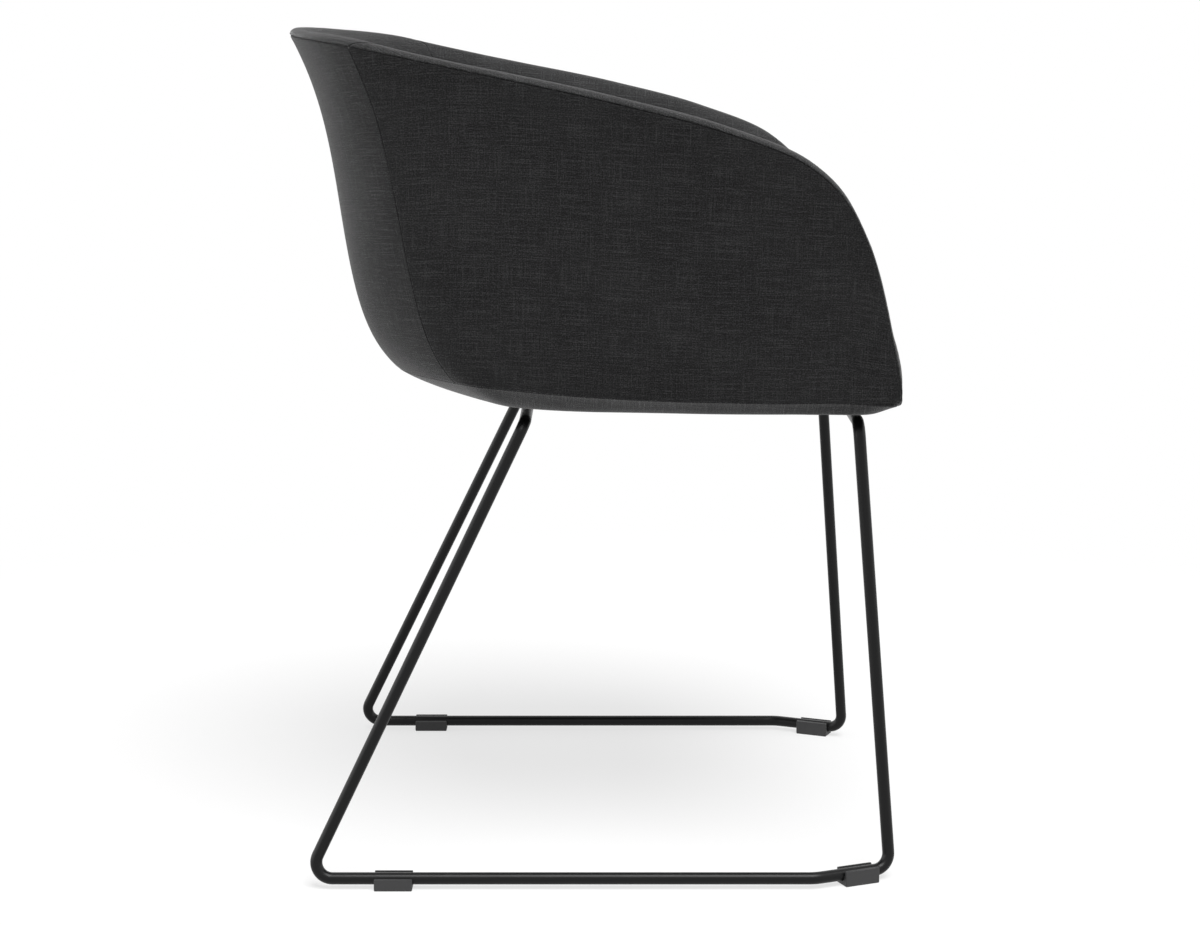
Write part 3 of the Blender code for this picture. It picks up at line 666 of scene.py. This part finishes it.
def bottom_panel(name):
    """Panel under the seat, up to the bottom seam; in front it runs up to the rim seam."""
    places = round_the_shell()
    seam = bottom_seam(places)[:, None]
    strip = spaced(STRIP_LENGTH, False, True)[None, 1:]
    lip = spaced(LIP_LENGTH, False, True)[None, 1:]
    flat = np.repeat(np.linspace(0, FLAT_LEVEL, FLAT_ROWS)[None, :], len(places), 0)
    level = np.concatenate((flat, FLAT_LEVEL + (seam - FLAT_LEVEL) * strip, seam + (1 - seam) * lip), 1)
    place = np.repeat(places[:, None], level.shape[1], 1)
    seam_row = FLAT_ROWS + strip.shape[1] - 1
    face = skin(place, level)
    away_seam = np.linalg.norm(face - face[:, [seam_row]], axis=-1)
    # away is the distance from the seams that sets the painted seam shade, and the soft seam's dip
    away = np.where(np.abs(place) > SIDE_END, arc_from(face, 1, last=True), away_seam)
    into = inward(place, level)
    mask = np.zeros((len(places), face.shape[1] - 1), bool)
    mask[:, :seam_row] = True
    mask[ahead_of(places, SIDE_END), :] = True
    front = face + into * column(edge_dip(away, SOFT_SEAM))
    back = face + into * OUTER_FABRIC
    return sheet_object(name, front, back, face[..., :2], away + SOFT_SHADE, closed=True, mask=mask)


# Padding

def slanted(place, reach):
    """Places moved forward towards the sitter's side, so the cross seams slant over the rim."""
    slant = (BACK_SLANT + HOOK) * near_seam(place, BACK_SEAM) + ARM_SLANT * near_seam(place, ARM_SEAM)
    return hooked(place, np.ones_like(place)) + np.sign(place) * reach * slant


def roll_turns():
    return np.concatenate((np.linspace(0, ROLL_EVEN, ROLL_STEPS)[1:], ROLL_LAST)) * math.pi


def inner_grid(places, levels, turns):
    """Sitter's-side face, rim included, and the face at the back of the padding."""
    reach = np.concatenate((eased(levels / CREASE_LEVEL), (1 + np.cos(turns)) / 2))
    place = slanted(np.repeat(places[:, None], len(reach), 1), reach[None, :])
    count = len(levels)
    level = np.repeat(levels[None, :], len(places), 0)
    wall_place = place[:, :count]
    into = inward(wall_place, level)
    full = thickness(wall_place, level)
    outer = skin(wall_place, level)
    face = outer + into * column(full)
    fade = eased((1 - level) / FOAM_FADE)
    foam = INNER_FABRIC + (full - OUTER_FABRIC - SHELL_WALL - 2 * LAYER_GAP - INNER_FABRIC) * fade
    back = outer + into * column(full - foam)
    turn = np.repeat(turns[None, :], len(places), 0)
    roll_place = place[:, count:]
    face = np.concatenate((face, roll(roll_place, turn, 0)), 1)
    back = np.concatenate((back, roll(roll_place, turn, INNER_FABRIC)), 1)
    return place, face, back


def blown(wide, tall, held, most):
    """Rise of a flat sheet of cloth blown out by its padding, from a short cloth run.

    The sheet is held where held says so, and no point rises further than most."""
    counts = [int(length / SWELL_STEP) + 2 for length in (wide, tall)]
    across, up = np.meshgrid(*(np.linspace(0, 1, count) for count in counts), indexing="ij")
    points = np.stack((across * wide, up * tall, across * 0), -1).reshape(-1, 3)
    corner = np.arange(len(points)).reshape(counts)
    ring = (corner[:-1, :-1], corner[1:, :-1], corner[1:, 1:], corner[:-1, 1:])
    faces = np.stack(ring, -1).reshape(-1, 4).tolist()
    sheet = make_object("padding_sheet", points, faces)
    pins = sheet.vertex_groups.new(name="held")
    pins.add(np.nonzero(held(across, up).ravel())[0].tolist(), 1.0, "REPLACE")
    cloth = sheet.modifiers.new("cloth", "CLOTH").settings
    cloth.vertex_group_mass = "held"
    cloth.mass = PAD_MASS
    cloth.use_pressure = True
    cloth.uniform_pressure_force = PAD_PRESSURE
    cloth.effector_weights.gravity = 0
    scene = bpy.context.scene
    for step in range(1, PAD_FRAMES + 1):
        scene.frame_set(step)
    blown_up = sheet.evaluated_get(bpy.context.evaluated_depsgraph_get()).data
    found = np.empty(len(points) * 3, np.float32)
    blown_up.vertices.foreach_get("co", found)
    flat = sheet.data
    bpy.data.objects.remove(sheet)
    bpy.data.meshes.remove(flat)
    scene.frame_set(1)
    rise = np.abs(found.reshape(*counts, 3)[..., 2].astype(float))
    return most * np.tanh(rise / most)


def sampled(values, across, up):
    """Values of an even grid at shares of its two sides, straight between its points."""
    found = []
    for share, count in zip((across, up), values.shape):
        at = np.clip(share, 0, 1) * (count - 1)
        first = np.minimum(at.astype(int), count - 2)
        found.append((first, at - first))
    (i, a), (j, b) = found
    return ((values[i, j] * (1 - a) + values[i + 1, j] * a) * (1 - b)
            + (values[i, j + 1] * (1 - a) + values[i + 1, j + 1] * a) * b)


def pad_swell(face, places, levels):
    """Rise of an inner panel between its seams, its crease and the rim."""
    def edges(across, up):
        return (np.minimum(across, up) <= 0) | (np.maximum(across, up) >= 1)

    wide = arc_from(face, 0)[-1].mean()
    tall = arc_from(face, 1)[:, -1].mean()
    rise = blown(wide, tall, edges, PAD_SWELL)
    across = (places - places[0]) / (places[-1] - places[0])
    on_wall = (levels - CREASE_LEVEL) / (1 - CREASE_LEVEL)
    up = np.concatenate((on_wall, np.ones(face.shape[1] - len(levels))))
    across, up = np.meshgrid(across, up, indexing="ij")
    return sampled(rise, across, up) * eased((1 - up) / SWELL_EASE)


def seat_swell(face, crease_row):
    """Rise of the seat inside its crease, which runs on under the front edge."""
    edge = face[:, crease_row, :2]
    low, high = edge.min(0), edge.max(0)
    middle = face[0, 0, :2]

    def out(plan):
        """Distance from the middle as a share of the distance to the crease."""
        angle, ring = (np.arctan2(*np.moveaxis(offset, -1, 0)) for offset in (plan - middle, edge - middle))
        order = np.argsort(ring)
        reach = np.linalg.norm(edge - middle, axis=-1)
        limit = np.interp(angle, ring[order], reach[order], period=2 * math.pi)
        return np.linalg.norm(plan - middle, axis=-1) / limit

    def outside(across, up):
        return out(low + (high - low) * np.stack((across, up), -1)) >= 1

    rise = blown(*(high - low), outside, SEAT_SWELL)
    plan = face[..., :2]
    share = (plan - low) / (high - low)
    return sampled(rise, share[..., 0], share[..., 1]) * eased((1 - out(plan)) / SWELL_EASE)


def keep_apart(face, back):
    """Leave the padding at least a thread thick where its face is drawn down."""
    gap = face - back
    size = np.linalg.norm(gap, axis=-1, keepdims=True)
    return np.where(size < THREAD, back + unit(gap + TINY) * THREAD, face)


def inner_panel(name, low, high):
    """Padding panel from the seat crease up the inside, over the rim to the rim seam."""
    places = panel_places(low, high)
    levels = CREASE_LEVEL + (1 - CREASE_LEVEL) * spaced(WALL_LENGTH, True, False)
    _, face, back = inner_grid(places, levels, roll_turns())
    sides = np.minimum(arc_from(face, 0), arc_from(face, 0, last=True))
    top = arc_from(face, 1, last=True)
    crease = arc_from(face, 1)
    on_roll = np.arange(face.shape[1]) >= len(levels)
    # away is the distance from the seams and the crease that sets the painted seam shade, and the ripples'
    # reach
    away = np.minimum.reduce((sides + np.where(on_roll, 0, SOFT_SHADE * 2), top, crease + SOFT_SHADE))
    cross = np.where(on_roll, edge_dip(sides, RIM_SEAM), edge_dip(sides, SOFT_SEAM))
    dip = np.maximum.reduce((edge_dip(top, RIM_SEAM), cross, edge_dip(crease, CREASE)))
    dip = dip + ripples(face, away) - pad_swell(face, places, levels)
    into = grid_normals(face, back, closed=False)
    face = keep_apart(face + into * column(dip), back)
    weft = arc_from(face, 0) if low < 0 < high else face[..., 1]
    uv = np.stack((weft, arc_from(face, 1)), -1)
    return sheet_object(name, face, back, uv, away)


def corner_share(place, rows):
    """One in the inner front corners, up to the crest of the rim, nought away from them.

    The rows are levels up the wall, and then 1 to 2 over the rim."""
    away = np.abs(place)
    along = eased((away - CORNER_REACH[0]) / CORNER_FADE) * eased((CORNER_REACH[1] - away) / CORNER_FADE)
    low, high = CORNER_ROWS
    up = eased((rows - low) / CORNER_ROW_FADE) * eased((high - rows) / CORNER_ROW_FADE)
    return along * up


def let_out(grid, share):
    """Closed grid with its folds let out where share is set, by evening each point with its neighbours."""
    for _ in range(CORNER_ROUNDS):
        beside = (np.roll(grid, 1, 0) + np.roll(grid, -1, 0))[:, 1:-1]
        mean = beside / 4 + (grid[:, :-2] + grid[:, 2:]) / 4
        grid = grid.copy()
        grid[:, 1:-1] += (mean - grid[:, 1:-1]) * column(share[:, 1:-1])
    return grid


def seat_pad(name):
    """Seat cushion; ahead of the arm seams it also wraps the front edges of the arms."""
    places = round_the_shell()
    in_seat = CREASE_LEVEL * spaced(SEAT_LENGTH, False, True)
    levels = CREASE_LEVEL + (1 - CREASE_LEVEL) * spaced(WALL_LENGTH, True, False)[1:]
    levels = np.concatenate((in_seat, levels))
    crease_row = len(in_seat) - 1
    turns = roll_turns()
    place, face, back = inner_grid(places, levels, turns)
    loose = corner_share(place, np.concatenate((levels, 1 + turns / math.pi)))
    face, back = (let_out(grid, loose) for grid in (face, back))
    arc = arc_from(face, 1)
    crease = np.abs(arc - arc[:, [crease_row]])
    top = arc_from(face, 1, last=True)
    seam_columns = [int(np.argmin(np.abs(places - seam))) for seam in (ARM_SEAM, -ARM_SEAM)]
    sides = np.minimum(*(np.linalg.norm(face - face[[at]], axis=-1) for at in seam_columns))
    front = eased((np.abs(places) - ARM_SEAM) / CREASE_FADE)[:, None]
    wall = np.arange(face.shape[1])[None, :] > crease_row
    # on_seat and away are the distances that set the painted shade at the crease and the seams; the seat
    # ahead of the arm seams gets none
    on_seat = np.where(front > 0.5, FAR, crease + SOFT_SHADE)
    away = np.where(wall, np.minimum(sides + SOFT_SHADE, top), on_seat)
    seam_dip = np.where(wall, np.maximum(edge_dip(sides, SOFT_SEAM), edge_dip(top, RIM_SEAM)), 0)
    crease_dip = edge_dip(crease, CREASE) * (1 - front)
    dip = np.maximum(seam_dip, crease_dip) - seat_swell(face, crease_row) * ~wall
    dip = dip + ripples(face, np.minimum(away, RIPPLE_REACH))
    into = grid_normals(face, back, closed=True)
    into[:, 0] = -UP
    face = face + into * column(dip)
    face[:, 0] = face[:, 0].mean(0)
    face = keep_apart(face, back)
    mask = np.zeros((len(places), face.shape[1] - 1), bool)
    mask[:, :crease_row] = True
    mask[ahead_of(places, ARM_SEAM), :] = True
    uv = np.stack((face[..., 0] + face[..., 2], face[..., 1] - face[..., 2]), -1)
    return sheet_object(name, face, back, uv, away, closed=True, mask=mask)


def shell_core(name):
    """Moulded shell between the outside cover and the padding."""
    places = round_the_shell()
    levels = np.linspace(0, CORE_TOP, CORE_ROWS)
    place, level = np.meshgrid(places, levels, indexing="ij")
    face = skin(place, level)
    into = inward(place, level)
    outside = face + into * (OUTER_FABRIC + LAYER_GAP)
    inside = face + into * (OUTER_FABRIC + LAYER_GAP + SHELL_WALL)
    return sheet_object(name, outside, inside, face[..., :2], np.full_like(level, FAR), closed=True)


# Sled frame

def bar_height():
    return UNDERSIDE - PLATE_THICKNESS - 2 * GAP - ROD / 2


def on_leg(foot, passing, height):
    return foot + (passing - foot) * (height - foot[2]) / (passing[2] - foot[2])


def sled_corners():
    """Corners of the left half of the rod, from the front cross bar round to the rear one."""
    low = GLIDE_SOLE + ROD / 2
    side = RUNNER_SPACING / 2
    front_foot = np.array((side - TOE_IN, FRONT_CORNER, low))
    rear_foot = np.array((side, -REAR_CORNER, low))
    front_pass = np.array((FRONT_TOP_SPACING / 2, FRONT_TOP, LEG_HEIGHT))
    rear_pass = np.array((REAR_TOP_SPACING / 2, -REAR_TOP, LEG_HEIGHT))
    front_top = on_leg(front_foot, front_pass, bar_height())
    rear_top = on_leg(rear_foot, rear_pass, bar_height())
    toe = np.array((side, TOE_START, low))
    start = front_top * (0, 1, 1) + (JOIN, 0, 0)
    end = rear_top * (0, 1, 1) + (JOIN, 0, 0)
    return [start, front_top, front_foot, toe, rear_foot, rear_top, end]


def bent_path(corners, radii):
    """Points along the corners, with each inner corner rounded to its radius."""
    path = [corners[0]]
    for before, corner, after, radius in zip(corners, corners[1:], corners[2:], radii):
        back = unit(before - corner)
        ahead = unit(after - corner)
        opening = math.acos(back.dot(ahead))
        centre = corner + unit(back + ahead) * radius / math.sin(opening / 2)
        reach = radius / math.tan(opening / 2)
        first = corner + back * reach - centre
        last = corner + ahead * reach - centre
        sweep = math.pi - opening
        for step in range(BEND_STEPS + 1):
            part = sweep * step / BEND_STEPS
            path.append(centre + (first * math.sin(sweep - part) + last * math.sin(part)) / math.sin(sweep))
    path.append(corners[-1])
    return path


def rod_outlines(path):
    """Round outlines square to the path, turned as little as possible from one to the next."""
    turns = np.linspace(0, 2 * math.pi, ROD_SIDES, endpoint=False)
    side = unit(np.cross(path[1] - path[0], UP))
    outlines = []
    for index, point in enumerate(path):
        before = path[max(index - 1, 0)]
        after = path[min(index + 1, len(path) - 1)]
        into = unit(point - before) if index else unit(after - point)
        out = unit(after - point) if index < len(path) - 1 else into
        heading = unit(into + out)
        side = unit(side - heading * side.dot(heading))
        up = np.cross(heading, side)
        outlines.append(point + (side * column(np.cos(turns)) + up * column(np.sin(turns))) * ROD / 2)
    return outlines


def extruded(outlines):
    """Points and faces of a solid through equal outlines, with flat ends."""
    count = len(outlines[0])
    points = np.concatenate(outlines)
    faces = [list(range(count)), list(range(len(points) - 1, len(points) - count - 1, -1))]
    for step in range(len(outlines) - 1):
        low = step * count
        for corner in range(count):
            after = (corner + 1) % count
            faces.append([low + corner, low + after, low + count + after, low + count + corner])
    return points, faces


def on_side(points, side):
    return in_part(points * (side, 1, 1))


def sled_tube(name, side):
    radii = (BEND, BEND, TOE_BEND, BEND, BEND)
    points, faces = extruded(rod_outlines(bent_path(sled_corners(), radii)))
    return make_object(name, on_side(points, side), faces)


def glide(name, place, side):
    """Clip-on glide: a block with a channel for the rod, open at the top.

    The rear ones have one low wall, on the same side of the chair for both."""
    front_foot, toe, rear_foot = sled_corners()[2:5]
    if place < 0:
        centre = rear_foot * (1, 0, 0) + (0, place, 0)
        heading = np.array((0, 1.0, 0))
    else:
        heading = unit(front_foot - toe)
        centre = toe + heading * (place - TOE_START) / heading[1]
    across = np.array((heading[1], -heading[0], 0))
    bore = ROD / 2 + GAP
    axis = GLIDE_SOLE + ROD / 2
    foot = GLIDE_CHAMFER
    inner = GLIDE_LOW_WALL if place < 0 < side else GLIDE_HEIGHT
    outer = GLIDE_LOW_WALL if place < 0 and side < 0 else GLIDE_HEIGHT

    def outline(along, inset):
        half = GLIDE_WIDTH / 2 - inset
        lip = bore + (half - bore) * GLIDE_LIP
        shape = [(-half, inner - foot), (-lip, inner - inset)]
        for step in range(BORE_STEPS + 1):
            turn = math.pi * (1 + step / BORE_STEPS)
            shape.append((bore * math.cos(turn), axis + bore * math.sin(turn)))
        shape += [(lip, outer - inset), (half, outer - foot), (half, foot + inset)]
        shape += [(half - foot, inset), (foot - half, inset), (-half, foot + inset)]
        base = centre * LEVEL_PART + heading * along
        return np.array([base + across * wide + UP * tall for wide, tall in shape])

    end = GLIDE_LENGTH / 2
    points, faces = extruded([outline(-end, foot), outline(foot - end, 0),
                              outline(end - foot, 0), outline(end, foot)])
    shoe = make_object(name, on_side(points, side), faces)
    shoe.data.set_sharp_from_angle(angle=math.radians(SHARP_EDGE))
    return shoe


# Shader nodes

def put(tree, socket, value):
    """Set a socket to a number or a colour, or link it to another node's output."""
    if isinstance(value, bpy.types.NodeSocket):
        tree.links.new(value, socket)
    else:
        socket.default_value = value


def add_node(tree, kind, inputs, **settings):
    """New shader node with its own settings, and its inputs set or linked."""
    made = tree.nodes.new("ShaderNode" + kind)
    for name, value in settings.items():
        setattr(made, name, value)
    for name, value in inputs.items():
        put(tree, made.inputs[name], value)
    return made


def combine(tree, operation, first, second):
    return add_node(tree, "Math", {0: first, 1: second}, operation=operation).outputs["Value"]


def ranged(tree, value, given, wanted=(0, 1), **settings):
    """A value moved from one range to another."""
    inputs = {"Value": value, "From Min": given[0], "From Max": given[1],
              "To Min": wanted[0], "To Max": wanted[1]}
    return add_node(tree, "MapRange", inputs, **settings).outputs["Result"]


def mixed_colour(tree, share, first, second, **settings):
    inputs = {"Factor": share, "A": first, "B": second}
    return add_node(tree, "Mix", inputs, data_type="RGBA", **settings).outputs["Result"]


def bumped(tree, height, strength, distance):
    inputs = {"Height": height, "Strength": strength, "Distance": distance}
    return add_node(tree, "Bump", inputs).outputs["Normal"]


def material(name):
    made = bpy.data.materials.new(name)
    made.use_nodes = True
    return made, made.node_tree, made.node_tree.nodes["Principled BSDF"]


def finished(tree, surface, values):
    """Values or links on the main shader's own sockets."""
    for name, value in values.items():
        put(tree, surface.inputs[name], value)


# Materials

def fabric(name, dark, pale):
    """Melange plain weave: dark yarn with paler slubs along both thread directions, with painted seam shade.
    """
    made, tree, surface = material(name)
    uv = add_node(tree, "UVMap", {}, uv_map="weave").outputs["UV"]

    def streaks(scale, low, high):
        stretched = add_node(tree, "Mapping", {"Vector": uv, "Scale": (*scale, 1)}).outputs["Vector"]
        inputs = {"Vector": stretched, "Scale": 1, "Detail": STREAK_DETAIL}
        return ranged(tree, add_node(tree, "TexNoise", inputs).outputs["Fac"], (low, high))

    threads = {kind: streaks(*values) for kind, values in STREAKS.items()}

    def summed(shares):
        total, *others = (combine(tree, "MULTIPLY", threads[kind], share) for kind, share in shares.items())
        for term in others:
            total = combine(tree, "ADD", total, term)
        return total

    broken = combine(tree, "MULTIPLY", threads["speck"], SLUB_SPECK[0])
    broken = combine(tree, "ADD", broken, SLUB_SPECK[1])
    threads["slub"] = combine(tree, "MULTIPLY", summed(SLUB), broken)
    colour = mixed_colour(tree, summed(YARN), (*dark, 1), (*pale, 1))
    # Painted shade: the colour darkens close to the seams, standing in for shadow in the seam grooves
    edge = add_node(tree, "Attribute", {}, attribute_name="seam").outputs["Fac"]
    near = ranged(tree, edge, SEAM_SHADE, (PAINTED_SEAM_TONE, 1))
    finished(tree, surface, {
        "Base Color": mixed_colour(tree, 1, colour, near, blend_type="MULTIPLY"),
        "Normal": bumped(tree, summed(THREADS), *THREAD_BUMP),
        "Roughness": FABRIC_ROUGHNESS,
        "Specular IOR Level": FABRIC_SPECULAR,
        "Sheen Weight": FABRIC_SHEEN[0],
        "Sheen Roughness": FABRIC_SHEEN[1],
    })
    return made


def grained(name):
    """Coated, moulded or plated finish with fine grain in its colour, gloss and surface."""
    colour, roughness, metallic, scale, strength, spread, specular = FINISHES[name]
    made, tree, surface = material(name)
    where = add_node(tree, "TexCoord", {}).outputs["Object"]
    inputs = {"Vector": where, "Scale": scale, "Detail": GRAIN_DETAIL}
    grain = add_node(tree, "TexNoise", inputs).outputs["Fac"]
    dark, pale = ((*(value * tone for value in colour), 1) for tone in (1 - spread, 1 + spread))
    gloss = (roughness - GLOSS_SPREAD, roughness + GLOSS_SPREAD)
    finished(tree, surface, {
        "Base Color": mixed_colour(tree, grain, dark, pale),
        "Roughness": ranged(tree, grain, (0, 1), gloss),
        "Normal": bumped(tree, grain, strength, GRAIN_DEPTH),
        "Metallic": metallic,
        "Specular IOR Level": specular,
    })
    return made


def seen_directly(tree):
    """One for rays from the camera, reflected or through glass, nought for light that is scattered."""
    ray = tree.nodes.new("ShaderNodeLightPath")
    seen = ray.outputs["Is Camera Ray"]
    for kind in ("Is Glossy Ray", "Is Transmission Ray"):
        seen = combine(tree, "MAXIMUM", seen, ray.outputs[kind])
    return seen


def floor_material():
    """White floor that keeps the shadow round the chair and is plain white further off."""
    made, tree, surface = material("floor_white")
    direct = seen_directly(tree)
    finished(tree, surface, {
        "Base Color": mixed_colour(tree, direct, (*FLOOR_BOUNCE, 1), (*FLOOR_WHITE, 1)),
        "Roughness": FLOOR_ROUGHNESS,
        "Specular IOR Level": 0.0,
    })
    glow = add_node(tree, "Emission", {"Color": (*WHITE, 1), "Strength": 1}).outputs["Emission"]
    where = add_node(tree, "TexCoord", {}).outputs["Object"]
    away = add_node(tree, "VectorMath", {0: where}, operation="LENGTH").outputs["Value"]
    lift = ranged(tree, away, SHADOW_REACH, (FLOOR_LIFT, 1), interpolation_type="SMOOTHSTEP")
    inputs = {"Fac": combine(tree, "MULTIPLY", direct, lift), 1: surface.outputs["BSDF"], 2: glow}
    mix = add_node(tree, "MixShader", inputs).outputs["Shader"]
    tree.links.new(mix, tree.nodes["Material Output"].inputs["Surface"])
    return made


# Assembly

def dress(thing, finish, replaced):
    """Give a piece its finish, hang it on the root body, and hide the solids that it stands for."""
    thing.data.materials.append(finish)
    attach(thing, "root")
    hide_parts(*replaced)


def upholstery():
    weave = fabric("charcoal_weave", OUTER_DARK, OUTER_PALE)
    # The sitter's side and the rims: the same cloth, painted paler for the light from above
    inner = fabric("charcoal_weave_painted_lit_inside", LIT_INNER_DARK, LIT_INNER_PALE)
    dress(outer_panel("outer_back_panel", -BACK_SEAM, BACK_SEAM), weave,
          ["outer_back_cover"])
    dress(bottom_panel("bottom_panel"), weave, ["bottom_cover"])
    dress(inner_panel("inner_back_pad", -BACK_SEAM, BACK_SEAM), inner,
          ["inner_back_cover"])
    dress(seat_pad("seat_pad"), inner, ["seat_cover", "seat_foam"])
    for word, sign in (("left", 1), ("right", -1)):
        low, high = sorted((sign * BACK_SEAM, sign * SIDE_END))
        dress(outer_panel("outer_side_panel_" + word, low, high), weave,
              ["outer_side_cover_" + word])
        low, high = sorted((sign * BACK_SEAM, sign * ARM_SEAM))
        dress(inner_panel("inner_arm_pad_" + word, low, high), inner,
              ["inner_arm_cover_" + word])


def sled():
    coat = grained("black_powder_coat")
    plastic = grained("black_moulded_plastic")
    for word, sign in (("left", 1), ("right", -1)):
        dress(sled_tube("sled_tube_" + word, sign), coat, ["sled_rod_" + word])
        for end, place in (("front", FRONT_GLIDE), ("rear", -REAR_GLIDE)):
            name = "_" + end + "_" + word
            dress(glide("glide_shoe" + name, place, sign), plastic, ["glide" + name])


def hidden_pieces():
    """The moulded shell made anew, and finishes for the plates and fasteners, which stay as solids."""
    coat = grained("plate_powder_coat")
    plated = grained("zinc_plate")
    moulded = grained("moulded_shell")
    dress(shell_core("shell_core"), moulded, ["structural_shell"])
    for name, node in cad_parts.items():
        if name.startswith("mount_plate"):
            finish = coat
        elif name.startswith(("screw", "washer", "insert")):
            finish = plated
        else:
            continue
        node.data.materials.clear()
        node.data.materials.append(finish)


# Studio

def add_floor():
    bpy.ops.mesh.primitive_plane_add(size=FLOOR_SIZE, location=(0, 0, 0))
    floor = bpy.context.object
    floor.name = "floor"
    floor.data.materials.append(floor_material())


def add_light():
    """Dim white sky that shows as plain white, and soft suns."""
    world = bpy.data.worlds.new("studio")
    bpy.context.scene.world = world
    world.use_nodes = True
    tree = world.node_tree
    strength = ranged(tree, seen_directly(tree), (0, 1), (SKY_STRENGTH, 1))
    finished(tree, tree.nodes["Background"], {"Color": (*WHITE, 1), "Strength": strength})
    for name, energy, angle, toward in LAMPS:
        lamp = bpy.data.lights.new(name, "SUN")
        lamp.energy = energy
        lamp.angle = math.radians(angle)
        add_object(name, lamp).rotation_euler = Vector(toward).to_track_quat("Z", "Y").to_euler()


def add_camera():
    data = bpy.data.cameras.new("camera")
    data.sensor_width = SENSOR
    data.lens = LENS
    data.shift_x = -HALF_PIXEL
    data.shift_y = HALF_PIXEL
    thing = add_object("camera", data)
    thing.location = (-CAMERA_DISTANCE, MIDDLE, CAMERA_HEIGHT)
    thing.rotation_euler = (math.radians(90 - CAMERA_TILT), 0, math.radians(-90))
    bpy.context.scene.camera = thing


add_camera()
upholstery()
sled()
hidden_pieces()
add_floor()
add_light()
bpy.context.scene.view_settings.view_transform = "Standard"
